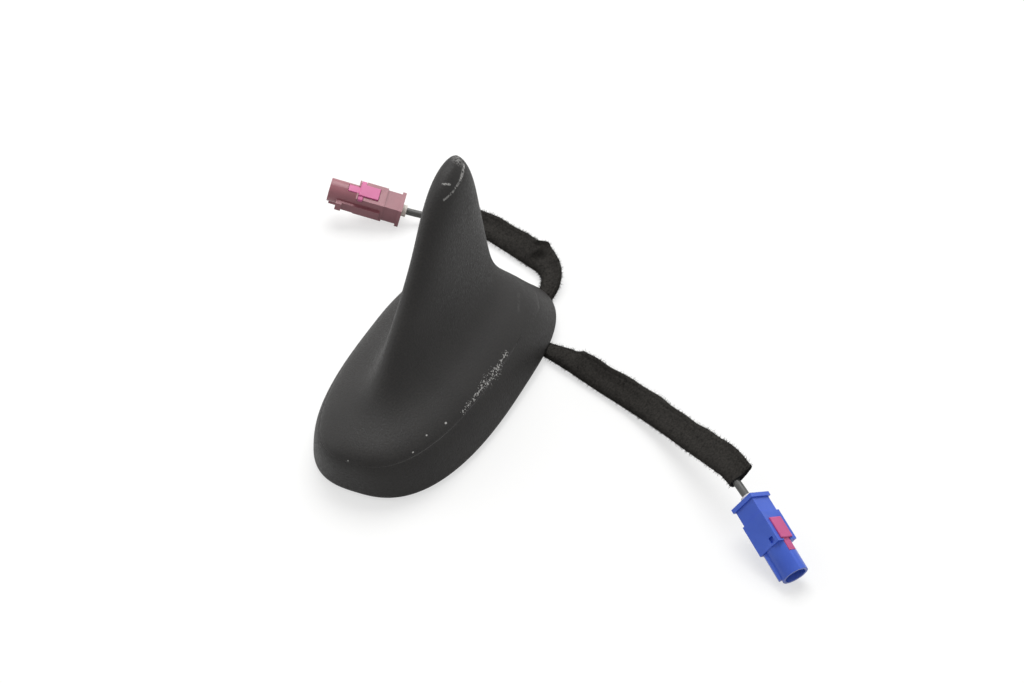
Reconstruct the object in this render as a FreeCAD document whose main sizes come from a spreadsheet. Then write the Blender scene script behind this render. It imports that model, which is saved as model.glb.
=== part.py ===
import FreeCAD, Part
import math
import os
import Sketcher

from FreeCAD import Placement, Rotation, Vector

# Roof antenna with a shark-fin cover, a base plate that carries the receiver board,
# and two taped coaxial leads that end in keyed plugs. Millimetres, +X forward, +Z up.
# The surface that it stands on is z = 0, and the mounting boss rests there.

doc = FreeCAD.newDocument("roof_antenna")
sheet = doc.addObject("Spreadsheet::Sheet", "sizes")

# The cover's skin runs up from the rim to the tip through these stations.
# Each one holds: front x, rear x, rise of the front, rise of the rear, half width.
STATIONS = {
    "rim": (58.24, -60.46, -3.0, 0.0, 29.6),
    "skirt": (59.94, -55.16, 4.9, 4.9, 27.7),
    "crease": (61.74, -49.16, 12.0, 11.7, 24.6),
    "deck": (55.94, -44.16, 15.8, 16.5, 17.3),
    "foot": (40.44, -41.36, 20.1, 21.1, 10.6),
    "root": (28.34, -40.06, 34.1, 30.7, 7.0),
    "blade": (7.54, -34.16, 52.8, 49.4, 6.2),
    "crown": (-3.86, -27.16, 72.4, 70.8, 5.9),
    "tip": (-15.56, -22.16, 75.0, 75.0, 1.7),
}
STATION_SIZES = ("front", "rear", "front_rise", "rear_rise", "half")

SIZES = {
    # cover
    "cover_wall": 2.4,
    "front_squareness": 2.7,
    "rear_squareness": 3.0,
    "fin_squareness": 2.0,
    "widest_share": 0.42,
    "post_diameter": 7.0,
    "post_front_inset": 18.75,
    "post_rear_inset": 20.75,
    "post_side_inset": 15.5,
    # base plate, gasket and boss
    "stand_height": 3.4,
    "gasket_thickness": 1.0,
    "gasket_inset": 9.0,
    "plate_thickness": 3.0,
    "plate_clearance": 0.6,
    "boss_front": 30.0,
    "boss_rear": -12.0,
    "boss_width": 26.0,
    "boss_corner": 5.0,
    "insert_x": 10.0,
    "insert_diameter": 10.0,
    "insert_length": 6.0,
    "roof_thread": 5.0,
    "grommet_length": 7.0,
    "grommet_width": 14.0,
    # leads
    "lead_spacing": 8.0,
    "lead_height": 1.5,
    "coax_diameter": 2.6,
    "tape_diameter": 4.2,
    # receiver board
    "board_front": 34.0,
    "board_rear": -32.0,
    "board_width": 34.0,
    "board_corner": 4.0,
    "board_thickness": 1.6,
    "pillar_height": 2.0,
    "pillar_diameter": 5.0,
    "pillar_inset": 4.0,
    "board_screw_diameter": 2.0,
    "board_screw_head": 3.8,
    "board_screw_rise": 1.4,
    "board_screw_length": 5.0,
    # satellite patch
    "patch_x": 18.0,
    "patch_size": 20.0,
    "patch_thickness": 4.0,
    "electrode_size": 14.0,
    "electrode_thickness": 0.2,
    "feed_diameter": 1.2,
    "feed_offset": 2.0,
    # shield can over the amplifier
    "can_x": -4.0,
    "can_length": 14.0,
    "can_width": 22.0,
    "can_height": 3.2,
    "can_wall": 0.4,
    # sheet-metal radiator in the fin
    "radiator_thickness": 0.6,
    "radiator_foot_front": 2.0,
    "radiator_foot_rear": -28.0,
    "radiator_top_front": -8.0,
    "radiator_top_rear": -22.0,
    "radiator_drop": 6.0,
    "radiator_leg": 6.0,
    "radiator_flange": 6.0,
    # screws that hold the cover to the plate
    "cover_screw_diameter": 3.0,
    "cover_screw_head": 5.6,
    "cover_screw_sink": 1.6,
    "cover_screw_length": 8.0,
    # keyed coaxial plug
    "flange_size": 9.2,
    "flange_thickness": 1.4,
    "neck_size": 8.0,
    "neck_length": 5.3,
    "block_size": 8.9,
    "block_length": 10.8,
    "nose_diameter": 8.6,
    "nose_length": 10.2,
    "mouth_diameter": 6.9,
    "mouth_depth": 9.2,
    "core_diameter": 4.4,
    "rib_width": 1.5,
    "rib_height": 0.9,
    "rib_length": 9.4,
    "lock_depth": 1.2,
    "lock_start": 9.4,
    "lock_length": 7.4,
    "lock_width": 5.4,
    "lock_bar": 1.9,
    "lock_proud": 0.5,
    "lock_clearance": 0.1,
    "window_depth": 0.9,
    "window_height": 1.7,
    "latch_start": 1.0,
    "latch_reach": 6.6,
    "latch_low": -3.0,
    "latch_high": 0.8,
    "latch_thickness": 0.9,
    "latch_root": 0.2,
    "hook_length": 2.2,
    "hook_rise": 0.8,
    "tongue_length": 4.2,
    "tongue_width": 3.0,
    "tongue_thickness": 1.0,
    "ferrule_tail": 1.6,
    "ferrule_length": 9.6,
    "shell_length": 16.6,
    "shell_bore": 3.6,
    "insulator_length": 13.1,
    "pin_diameter": 0.9,
    "pin_length": 15.6,
    "coax_reach": 7.0,
    "coax_tail": 9.0,
    # where the two plugs lie
    "gps_plug_x": 25.2,
    "gps_plug_y": 118.8,
    "gps_plug_heading": 51.7,
    "gps_plug_dip": 19.5,
    "gps_plug_roll": -28.0,
    "gps_key_angle": 225.0,
    "phone_plug_x": -81.0,
    "phone_plug_y": -50.2,
    "phone_plug_heading": -73.8,
    "phone_plug_dip": -15.0,
    "phone_plug_roll": -14.7,
    "phone_key_angle": 300.0,
}

for station, values in STATIONS.items():
    for measure, value in zip(STATION_SIZES, values):
        SIZES[station + "_" + measure] = value

for row, (alias, value) in enumerate(SIZES.items(), start=1):
    sheet.set("A%d" % row, alias)
    sheet.set("B%d" % row, str(value))
    sheet.setAlias("B%d" % row, alias)
doc.recompute()


def size(alias):
    """The value of one named size, in millimetres, degrees or as a plain ratio."""
    return float(getattr(sheet, alias))


# Heights that follow from the stack of boss, gasket, plate, pillars and board.
RIM_Z = size("stand_height") + size("gasket_thickness")
PLATE_TOP = RIM_Z + size("plate_thickness")
BOARD_BOTTOM = PLATE_TOP + size("pillar_height")
BOARD_TOP = BOARD_BOTTOM + size("board_thickness")
RIM_Z_EXPR = "(sizes.stand_height + sizes.gasket_thickness)"
PLATE_TOP_EXPR = "(%s + sizes.plate_thickness)" % RIM_Z_EXPR
BOARD_BOTTOM_EXPR = "(%s + sizes.pillar_height)" % PLATE_TOP_EXPR
BOARD_TOP_EXPR = "(%s + sizes.board_thickness)" % BOARD_BOTTOM_EXPR

sub_parts = []


def keep(obj, label):
    """Name a finished sub-part, so that it is checked and written."""
    obj.Label = label
    sub_parts.append(obj)
    return obj


def feature(label, shape):
    """A sub-part whose solid is worked out with Part's own functions."""
    obj = doc.addObject("Part::Feature", label)
    obj.Shape = shape
    return keep(obj, label)


def place(obj, x="0", y="0", z="0"):
    """Bind a primitive's corner or axis point to the sheet."""
    for axis, expression in zip("xyz", (x, y, z)):
        obj.setExpression("Placement.Base." + axis, expression)
    return obj


def box(name, corner, lengths):
    """A block with its lowest corner and its three sides given as expressions."""
    obj = doc.addObject("Part::Box", name)
    for side, expression in zip(("Length", "Width", "Height"), lengths):
        obj.setExpression(side, expression)
    return place(obj, *corner)


def rod(name, base, diameter, height):
    """An upright cylinder on a base point."""
    obj = doc.addObject("Part::Cylinder", name)
    obj.setExpression("Radius", "%s / 2" % diameter)
    obj.setExpression("Height", height)
    return place(obj, *base)


def fuse(name, shapes):
    """One solid from several that touch or overlap."""
    obj = doc.addObject("Part::MultiFuse", name)
    obj.Shapes = shapes
    obj.Refine = True
    return obj


def cut(name, base, tool):
    """The base solid less the tool."""
    obj = doc.addObject("Part::Cut", name)
    obj.Base = base
    obj.Tool = tool
    obj.Refine = True
    return obj


def round_upright_edges(name, base, radius):
    """Round every edge of a block that runs along Z."""
    doc.recompute()
    value = size(radius)
    obj = doc.addObject("Part::Fillet", name)
    obj.Base = base
    edges = []
    for number, edge in enumerate(base.Shape.Edges, start=1):
        along = edge.Vertexes[0].Point - edge.Vertexes[-1].Point
        if abs(along.z) > 0.999 * along.Length > 0:
            edges.append((number, value, value))
    obj.Edges = edges
    return obj


# The cover's skin. Three rails run from the rim to the tip: the front profile,
# the rear profile and the half width. Each level section between them is a
# superellipse, squarer at the rear, whose widest point lies behind the middle.

SECTION_POINTS = 36
SKIN_SECTIONS = 18
RAIL_DEGREE = 3


def rail(points):
    """A smooth curve that starts at the rim, ends at the tip and is drawn by the stations."""
    curve = Part.BSplineCurve()
    curve.buildFromPoles(points, False, RAIL_DEGREE)
    return curve


def station_points(reach, rise):
    """The rail's drawing points in its own plane: reach along x, height along z."""
    return [Vector(size(s + reach), 0, sum(size(s + r) for r in rise) / len(rise)) for s in STATIONS]


FRONT_RAIL = rail(station_points("_front", ["_front_rise"]))
REAR_RAIL = rail(station_points("_rear", ["_rear_rise"]))
WIDTH_RAIL = rail(station_points("_half", ["_front_rise", "_rear_rise"]))


def inward(curve, share, distance, side):
    """The rail's point at a share of its span, moved into the wall by a distance.

    A share below nothing goes straight on past the rim.
    """
    u = curve.FirstParameter + max(share, 0) * (curve.LastParameter - curve.FirstParameter)
    along = curve.tangent(u)[0]
    outward = Vector(along.z, 0, -along.x) * side
    past_rim = along * min(share, 0) * curve.length()
    return curve.value(u) + past_rim - outward * distance


def power(value, exponent):
    """A power that keeps the sign of its base."""
    return math.copysign(abs(value) ** exponent, value)


def outline(front, rear, half, share):
    """Closed superellipse through a front point and a rear point, half wide at its widest."""
    middle = rear.x + (front.x - rear.x) * size("widest_share")
    slope = (front.z - rear.z) / (front.x - rear.x)
    points = []
    for step in range(SECTION_POINTS):
        angle = 2 * math.pi * step / SECTION_POINTS
        at_front = math.cos(angle) >= 0
        square = size("front_squareness") if at_front else size("rear_squareness")
        square += (size("fin_squareness") - square) * max(share, 0)
        reach = front.x - middle if at_front else middle - rear.x
        x = middle + reach * power(math.cos(angle), 2 / square)
        y = half * power(math.sin(angle), 2 / square)
        points.append(Vector(x, y, RIM_Z + rear.z + slope * (x - rear.x)))
    curve = Part.BSplineCurve()
    curve.interpolate(points, True)
    return Part.Wire([curve.toShape()])


def section(share, wall=0.0):
    """The skin's level section at a share of the way from rim to tip, moved in by a wall."""
    front = inward(FRONT_RAIL, share, wall, 1)
    rear = inward(REAR_RAIL, share, wall, -1)
    half = inward(WIDTH_RAIL, share, wall, 1).x
    return outline(front, rear, half, share)


def rim_face(inset):
    """Flat face bounded by the rim's outline, moved in by an inset."""
    front = Vector(size("rim_front") - inset, 0, 0)
    rear = Vector(size("rim_rear") + inset, 0, 0)
    return Part.Face(outline(front, rear, size("rim_half") - inset, 0))


def skin(first_share, last_share, wall=0.0):
    """Solid inside the skin between two shares of the way from rim to tip."""
    step = (last_share - first_share) / (SKIN_SECTIONS - 1)
    shares = [first_share + step * number for number in range(SKIN_SECTIONS)]
    return Part.makeLoft([section(share, wall) for share in shares], True, False)


MOUTH_SHARE = -0.05
CAVITY_SHARE = 0.86
POST_PLACES = [
    (end, side * (size("rim_half") - size("post_side_inset")))
    for end in (size("rim_front") - size("post_front_inset"), size("rim_rear") + size("post_rear_inset"))
    for side in (1, -1)
]


def room(wall):
    """Space inside the skin less a wall, open downwards through the rim."""
    return skin(MOUTH_SHARE, CAVITY_SHARE, wall)


def fin_cover():
    """Moulded shell with four screw posts that stand down onto the plate."""
    outside = skin(0.0, 1.0)
    shell = outside.cut(room(size("cover_wall")))
    top = RIM_Z + size("tip_rear_rise")
    for x, y in POST_PLACES:
        post = Part.makeCylinder(size("post_diameter") / 2, top - PLATE_TOP, Vector(x, y, PLATE_TOP))
        shell = shell.fuse(post.common(outside))
    thread = size("cover_screw_length") - size("plate_thickness") + size("cover_screw_sink")
    for x, y in POST_PLACES:
        pilot = Part.makeCylinder(size("cover_screw_diameter") / 2, thread, Vector(x, y, PLATE_TOP))
        shell = shell.cut(pilot)
    return shell.removeSplitter()


feature("fin_cover", fin_cover())

# Base plate: a cast plate inside the rim with a boss that goes through the roof.

def layer(bottom, thickness):
    """Slice of the space inside the cover's wall, with a clearance all round."""
    inset = size("cover_wall") + size("plate_clearance")
    length = size("rim_front") - size("rim_rear")
    corner = Vector(-length, -length, bottom)
    return Part.makeBox(2 * length, 2 * length, thickness, corner).common(room(inset))


slab = doc.addObject("Part::Feature", "plate_slab")
slab.Shape = layer(RIM_Z, size("plate_thickness"))

boss_block = box(
    "boss_block",
    ("sizes.boss_rear", "-sizes.boss_width / 2", "0"),
    ("sizes.boss_front - sizes.boss_rear", "sizes.boss_width", RIM_Z_EXPR),
)
boss = round_upright_edges("boss", boss_block, "boss_corner")

PILLAR_PLACES = [
    (end, "%s(sizes.board_width / 2 - sizes.pillar_inset)" % side)
    for end in ("(sizes.board_front - sizes.pillar_inset)", "(sizes.board_rear + sizes.pillar_inset)")
    for side in ("", "-")
]
pillars = [
    rod("pillar_%d" % n, (x, y, PLATE_TOP_EXPR), "sizes.pillar_diameter", "sizes.pillar_height")
    for n, (x, y) in enumerate(PILLAR_PLACES, start=1)
]
plate_blank = fuse("plate_blank", [slab, boss] + pillars)

POST_EXPRESSIONS = [
    (end, "%s(sizes.rim_half - sizes.post_side_inset)" % side)
    for end in ("sizes.rim_front - sizes.post_front_inset", "sizes.rim_rear + sizes.post_rear_inset")
    for side in ("", "-")
]
openings = []
for n, (x, y) in enumerate(POST_EXPRESSIONS, start=1):
    openings.append(
        rod("screw_way_%d" % n, (x, y, RIM_Z_EXPR), "sizes.cover_screw_diameter", "sizes.plate_thickness")
    )
    openings.append(
        rod("screw_sink_%d" % n, (x, y, RIM_Z_EXPR), "sizes.cover_screw_head", "sizes.cover_screw_sink")
    )
for n, (x, y) in enumerate(PILLAR_PLACES, start=1):
    depth = "(sizes.board_screw_length - sizes.board_thickness)"
    openings.append(
        rod(
            "board_thread_%d" % n,
            (x, y, "%s - %s" % (BOARD_BOTTOM_EXPR, depth)),
            "sizes.board_screw_diameter",
            depth,
        )
    )
openings.append(
    rod("insert_seat", ("sizes.insert_x", "0", "0"), "sizes.insert_diameter", "sizes.insert_length")
)
openings.append(
    box(
        "grommet_seat",
        ("sizes.boss_rear", "-sizes.grommet_width / 2", "0"),
        ("sizes.grommet_length", "sizes.grommet_width", PLATE_TOP_EXPR),
    )
)
base_plate = cut("base_plate_cut", plate_blank, fuse("plate_openings", openings))
keep(base_plate, "base_plate")

# Gasket ring under the plate's edge, inside the lip of the cover.

gasket_bottom = Vector(0, 0, -size("gasket_thickness"))
gasket_hole = rim_face(size("gasket_inset")).extrude(gasket_bottom)
gasket = layer(RIM_Z - size("gasket_thickness"), size("gasket_thickness")).cut(gasket_hole)
feature("rim_gasket", gasket.Solids[0])

# Threaded insert for the roof bolt.

insert_body = rod("insert_body", ("sizes.insert_x", "0", "0"), "sizes.insert_diameter", "sizes.insert_length")
insert_bore = rod("insert_bore", ("sizes.insert_x", "0", "0"), "sizes.roof_thread", "sizes.insert_length")
keep(cut("insert_cut", insert_body, insert_bore), "roof_thread_insert")

# Rubber grommet in the boss's rear end: the leads' cores go up from it to the board.

grommet_block = box(
    "grommet_block",
    ("sizes.boss_rear", "-sizes.grommet_width / 2", "0"),
    ("sizes.grommet_length", "sizes.grommet_width", PLATE_TOP_EXPR),
)
keep(grommet_block, "cable_grommet")

TAIL_X_EXPR = "(sizes.boss_rear + sizes.grommet_length / 2)"
tails = [
    rod(
        "tail_%d" % n,
        (TAIL_X_EXPR, "%s sizes.lead_spacing / 2" % side, PLATE_TOP_EXPR),
        "sizes.coax_diameter",
        "sizes.pillar_height",
    )
    for n, side in enumerate(("+", "-"), start=1)
]
tail_group = doc.addObject("Part::Compound", "tail_group")
tail_group.Links = tails
keep(tail_group, "coax_tails")

# Receiver board with its satellite patch, shield can and radiator.

board_block = box(
    "board_block",
    ("sizes.board_rear", "-sizes.board_width / 2", BOARD_BOTTOM_EXPR),
    ("sizes.board_front - sizes.board_rear", "sizes.board_width", "sizes.board_thickness"),
)
board_rounded = round_upright_edges("board_rounded", board_block, "board_corner")
board_holes = [
    rod("board_hole_%d" % n, (x, y, BOARD_BOTTOM_EXPR), "sizes.board_screw_diameter", "sizes.board_thickness")
    for n, (x, y) in enumerate(PILLAR_PLACES, start=1)
]
keep(cut("board_cut", board_rounded, fuse("board_hole_group", board_holes)), "circuit_board")

FEED_X_EXPR = "(sizes.patch_x + sizes.feed_offset)"
patch_block = box(
    "patch_block",
    ("sizes.patch_x - sizes.patch_size / 2", "-sizes.patch_size / 2", BOARD_TOP_EXPR),
    ("sizes.patch_size", "sizes.patch_size", "sizes.patch_thickness"),
)
patch_way = rod(
    "patch_way", (FEED_X_EXPR, "0", BOARD_TOP_EXPR), "sizes.feed_diameter", "sizes.patch_thickness"
)
keep(cut("patch_cut", patch_block, patch_way), "gps_patch")

PATCH_TOP_EXPR = "(%s + sizes.patch_thickness)" % BOARD_TOP_EXPR
electrode_block = box(
    "electrode_block",
    ("sizes.patch_x - sizes.electrode_size / 2", "-sizes.electrode_size / 2", PATCH_TOP_EXPR),
    ("sizes.electrode_size", "sizes.electrode_size", "sizes.electrode_thickness"),
)
electrode_way = rod(
    "electrode_way", (FEED_X_EXPR, "0", PATCH_TOP_EXPR), "sizes.feed_diameter", "sizes.electrode_thickness"
)
keep(cut("electrode_cut", electrode_block, electrode_way), "patch_electrode")
feed_pin = rod(
    "feed_pin",
    (FEED_X_EXPR, "0", BOARD_TOP_EXPR),
    "sizes.feed_diameter",
    "sizes.patch_thickness + sizes.electrode_thickness",
)
keep(feed_pin, "patch_feed_pin")

can_block = box(
    "can_block",
    ("sizes.can_x - sizes.can_length / 2", "-sizes.can_width / 2", BOARD_TOP_EXPR),
    ("sizes.can_length", "sizes.can_width", "sizes.can_height"),
)
can_room = box(
    "can_room",
    (
        "sizes.can_x - sizes.can_length / 2 + sizes.can_wall",
        "-sizes.can_width / 2 + sizes.can_wall",
        BOARD_TOP_EXPR,
    ),
    (
        "sizes.can_length - 2 * sizes.can_wall",
        "sizes.can_width - 2 * sizes.can_wall",
        "sizes.can_height - sizes.can_wall",
    ),
)
keep(cut("can_cut", can_block, can_room), "shield_can")


def phone_radiator():
    """Folded sheet: a blade that tapers up the fin, on a leg with a flange along the board."""
    leg_front = size("radiator_foot_rear") + size("radiator_leg")
    blade_bottom = BOARD_TOP + size("can_height") + size("radiator_flange")
    half = size("radiator_thickness") / 2
    wall = size("cover_wall")
    roof = min(inward(FRONT_RAIL, CAVITY_SHARE, wall, 1).z, inward(REAR_RAIL, CAVITY_SHARE, wall, -1).z)
    blade_top = RIM_Z + roof - size("radiator_drop")
    corners = [
        (size("radiator_foot_rear"), BOARD_TOP),
        (leg_front, BOARD_TOP),
        (leg_front, blade_bottom),
        (size("radiator_foot_front"), blade_bottom),
        (size("radiator_top_front"), blade_top),
        (size("radiator_top_rear"), blade_top),
    ]
    points = [Vector(x, -half, z) for x, z in corners]
    blade = Part.Face(Part.makePolygon(points + points[:1])).extrude(Vector(0, 2 * half, 0))
    flange = Part.makeBox(
        size("radiator_leg"),
        size("radiator_flange"),
        size("radiator_thickness"),
        Vector(size("radiator_foot_rear"), half, BOARD_TOP),
    )
    return blade.fuse(flange).removeSplitter()


feature("phone_radiator", phone_radiator())


def screw(head, sink, diameter, length, point, direction):
    """Pan-head screw: the head's underside is at the point and the shank goes along direction."""
    head_solid = Part.makeCylinder(head / 2, sink, point, direction * -1)
    shank = Part.makeCylinder(diameter / 2, length, point, direction)
    return head_solid.fuse(shank).removeSplitter()


def screw_group(label, head, sink, diameter, length, places, seat, direction):
    """Identical screws, one at each place."""
    solids = [
        screw(size(head), sink, size(diameter), length, Vector(x, y, seat), direction) for x, y in places
    ]
    feature(label, Part.makeCompound(solids))


screw_group(
    "cover_screws",
    "cover_screw_head",
    size("cover_screw_sink"),
    "cover_screw_diameter",
    size("cover_screw_length"),
    POST_PLACES,
    RIM_Z + size("cover_screw_sink"),
    Vector(0, 0, 1),
)
BOARD_PLACES = [
    (end, side * (size("board_width") / 2 - size("pillar_inset")))
    for end in (size("board_front") - size("pillar_inset"), size("board_rear") + size("pillar_inset"))
    for side in (1, -1)
]
screw_group(
    "board_screws",
    "board_screw_head",
    size("board_screw_rise"),
    "board_screw_diameter",
    size("board_screw_length"),
    BOARD_PLACES,
    BOARD_TOP,
    Vector(0, 0, -1),
)

# Keyed coaxial plugs. Each is drawn along its own axis: x = 0 is the flange's rear
# face, +x points out of the nose and +z is the side of the secondary lock.

ORIGIN_PLANES = {"YZ": "YZ_Plane", "XY": "XY_Plane"}
NECK_END_EXPR = "(sizes.flange_thickness + sizes.neck_length)"
BLOCK_END_EXPR = "(%s + sizes.block_length)" % NECK_END_EXPR
NOSE_END_EXPR = "(%s + sizes.nose_length)" % BLOCK_END_EXPR
BLOCK_END = size("flange_thickness") + size("neck_length") + size("block_length")


def attach(body, name, plane, offset):
    """A sketch on one of the body's own planes, raised by an offset."""
    sketch = body.newObject("Sketcher::SketchObject", name)
    origin = [f for f in body.Origin.OriginFeatures if f.Role == ORIGIN_PLANES[plane]][0]
    sketch.AttachmentSupport = [(origin, "")]
    sketch.MapMode = "FlatFace"
    sketch.setExpression("AttachmentOffset.Base.z", offset)
    return sketch


def draw_rectangle(sketch, low, high):
    """Rectangle between two corners given as pairs of expressions."""
    first = sketch.GeometryCount
    long_side = Vector(size("block_length"), 0, 0)
    short_side = Vector(0, size("lock_width"), 0)
    corners = [Vector(), long_side, long_side + short_side, short_side]
    for start, end in zip(corners, corners[1:] + corners[:1]):
        sketch.addGeometry(Part.LineSegment(start, end), False)
    for n in range(4):
        sketch.addConstraint(Sketcher.Constraint("Coincident", first + n, 2, first + (n + 1) % 4, 1))
    for n, kind in enumerate(("Horizontal", "Vertical", "Horizontal", "Vertical")):
        sketch.addConstraint(Sketcher.Constraint(kind, first + n))
    for vertex, pair in ((first, low), (first + 2, high)):
        for kind, expression in zip(("DistanceX", "DistanceY"), pair):
            number = sketch.addConstraint(Sketcher.Constraint(kind, -1, 1, vertex, 1, size("lock_depth")))
            sketch.setExpression("Constraints[%d]" % number, expression)


def draw_square(sketch, side):
    """Square centred on the plug's axis."""
    half = "%s / 2" % side
    draw_rectangle(sketch, ("-" + half, "-" + half), (half, half))


def draw_circle(sketch, diameter):
    """Circle centred on the plug's axis."""
    number = sketch.addGeometry(Part.Circle(Vector(), Vector(0, 0, 1), size("core_diameter")), False)
    sketch.addConstraint(Sketcher.Constraint("Coincident", number, 3, -1, 1))
    constraint = sketch.addConstraint(Sketcher.Constraint("Diameter", number, size("core_diameter")))
    sketch.setExpression("Constraints[%d]" % constraint, diameter)


def pad(body, sketch, length):
    """Material from a sketch along its normal."""
    obj = body.newObject("PartDesign::Pad", sketch.Name + "_pad")
    obj.Profile = sketch
    obj.setExpression("Length", length)
    return obj


def pocket(body, sketch, length, reverse=False):
    """Material removed from a sketch against its normal, or along it when reversed."""
    obj = body.newObject("PartDesign::Pocket", sketch.Name + "_pocket")
    obj.Profile = sketch
    obj.setExpression("Length", length)
    obj.Reversed = reverse
    return obj


# One plug shows a lock with side wings and a latch arm, the other a small side window.
WINGED_LOCKS = ("phone",)
LATCH_FACE_EXPR = "(sizes.block_size / 2 + sizes.latch_thickness)"
LOCK_FLOOR_EXPR = "(sizes.block_size / 2 - sizes.lock_depth)"
LOCK_END_EXPR = "(sizes.lock_start + sizes.lock_length)"


def plug_placement(plug):
    """The plug's pose: headed, dipped and rolled, with its lowest edge on the floor."""
    turn = Rotation(Vector(0, 0, 1), size(plug + "_plug_heading"))
    turn = turn.multiply(Rotation(Vector(0, 1, 0), size(plug + "_plug_dip")))
    turn = turn.multiply(Rotation(Vector(1, 0, 0), size(plug + "_plug_roll")))
    flange = size("flange_size") / 2
    block = size("block_size") / 2
    squares = ((0, flange), (size("flange_thickness"), flange), (BLOCK_END, block))
    corners = [Vector(x, y * half, z * half) for x, half in squares for y in (1, -1) for z in (1, -1)]
    square_low = min(turn.multVec(corner).z for corner in corners)
    nose_end = turn.multVec(Vector(BLOCK_END + size("nose_length"), 0, 0)).z
    nose_low = nose_end - size("nose_diameter") / 2 * math.cos(math.radians(size(plug + "_plug_dip")))
    height = -min(square_low, nose_low)
    return Placement(Vector(size(plug + "_plug_x"), size(plug + "_plug_y"), height), turn)


def plug_housing(plug):
    """Moulded housing: flange, neck, block, round nose with a key rib, bore, latch and lock seat."""
    body = doc.addObject("PartDesign::Body", plug + "_housing_body")
    name = plug + "_housing_"
    flange = attach(body, name + "flange", "YZ", "0")
    draw_square(flange, "sizes.flange_size")
    pad(body, flange, "sizes.flange_thickness")
    neck = attach(body, name + "neck", "YZ", "sizes.flange_thickness")
    draw_square(neck, "sizes.neck_size")
    pad(body, neck, "sizes.neck_length")
    block = attach(body, name + "block", "YZ", NECK_END_EXPR)
    draw_square(block, "sizes.block_size")
    pad(body, block, "sizes.block_length")
    nose = attach(body, name + "nose", "YZ", BLOCK_END_EXPR)
    draw_circle(nose, "sizes.nose_diameter")
    pad(body, nose, "sizes.nose_length")
    rib = attach(body, name + "rib", "YZ", BLOCK_END_EXPR)
    draw_rectangle(
        rib,
        ("sizes.mouth_diameter / 2 + sizes.rib_height / 2", "-sizes.rib_width / 2"),
        ("sizes.nose_diameter / 2 + sizes.rib_height", "sizes.rib_width / 2"),
    )
    rib.setExpression("AttachmentOffset.Rotation.Angle", "sizes.%s_key_angle" % plug)
    pad(body, rib, "sizes.rib_length")
    if plug in WINGED_LOCKS:
        latch = attach(body, name + "latch", "YZ", "%s + sizes.latch_start" % NECK_END_EXPR)
        draw_rectangle(
            latch,
            ("sizes.block_size / 2 - sizes.latch_root", "sizes.latch_low"),
            (LATCH_FACE_EXPR, "sizes.latch_high"),
        )
        pad(body, latch, "sizes.block_length + sizes.latch_reach - sizes.latch_start")
        hook_start = "%s + sizes.latch_reach - sizes.hook_length" % BLOCK_END_EXPR
        hook = attach(body, name + "hook", "YZ", hook_start)
        draw_rectangle(
            hook,
            ("sizes.block_size / 2", "sizes.latch_low"),
            ("%s + sizes.hook_rise" % LATCH_FACE_EXPR, "sizes.latch_high"),
        )
        pad(body, hook, "sizes.hook_length")
    core = attach(body, name + "core", "YZ", NOSE_END_EXPR)
    draw_circle(core, "sizes.core_diameter")
    pocket(body, core, NOSE_END_EXPR)
    mouth = attach(body, name + "mouth", "YZ", NOSE_END_EXPR)
    draw_circle(mouth, "sizes.mouth_diameter")
    pocket(body, mouth, "sizes.mouth_depth")
    gap = "sizes.lock_clearance"
    seat = attach(body, name + "seat", "XY", LOCK_FLOOR_EXPR)
    draw_rectangle(
        seat,
        ("sizes.lock_start - %s" % gap, "-sizes.lock_width / 2 - %s" % gap),
        ("%s + %s" % (LOCK_END_EXPR, gap), "sizes.lock_width / 2 + %s" % gap),
    )
    pocket(body, seat, "sizes.lock_depth", True)
    if plug in WINGED_LOCKS:
        bar = attach(body, name + "bar", "XY", LOCK_FLOOR_EXPR)
        draw_rectangle(
            bar,
            ("%s - sizes.lock_bar - %s" % (LOCK_END_EXPR, gap), "-sizes.block_size / 2"),
            ("%s + %s" % (LOCK_END_EXPR, gap), "sizes.block_size / 2"),
        )
        pocket(body, bar, "sizes.lock_depth", True)
    else:
        window = attach(body, name + "window", "XY", LOCK_FLOOR_EXPR)
        draw_rectangle(
            window,
            ("%s - sizes.lock_bar" % LOCK_END_EXPR, "-sizes.block_size / 2"),
            (LOCK_END_EXPR, "sizes.window_depth - sizes.block_size / 2"),
        )
        pocket(body, window, "sizes.window_height")
    groove = attach(body, name + "groove", "XY", LOCK_FLOOR_EXPR)
    draw_rectangle(
        groove,
        (LOCK_END_EXPR, "-sizes.tongue_width / 2 - %s" % gap),
        ("%s + sizes.tongue_length + %s" % (LOCK_END_EXPR, gap), "sizes.tongue_width / 2 + %s" % gap),
    )
    pocket(body, groove, "sizes.lock_depth", True)
    body.Placement = plug_placement(plug)
    return keep(body, plug + "_plug_housing")


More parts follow.
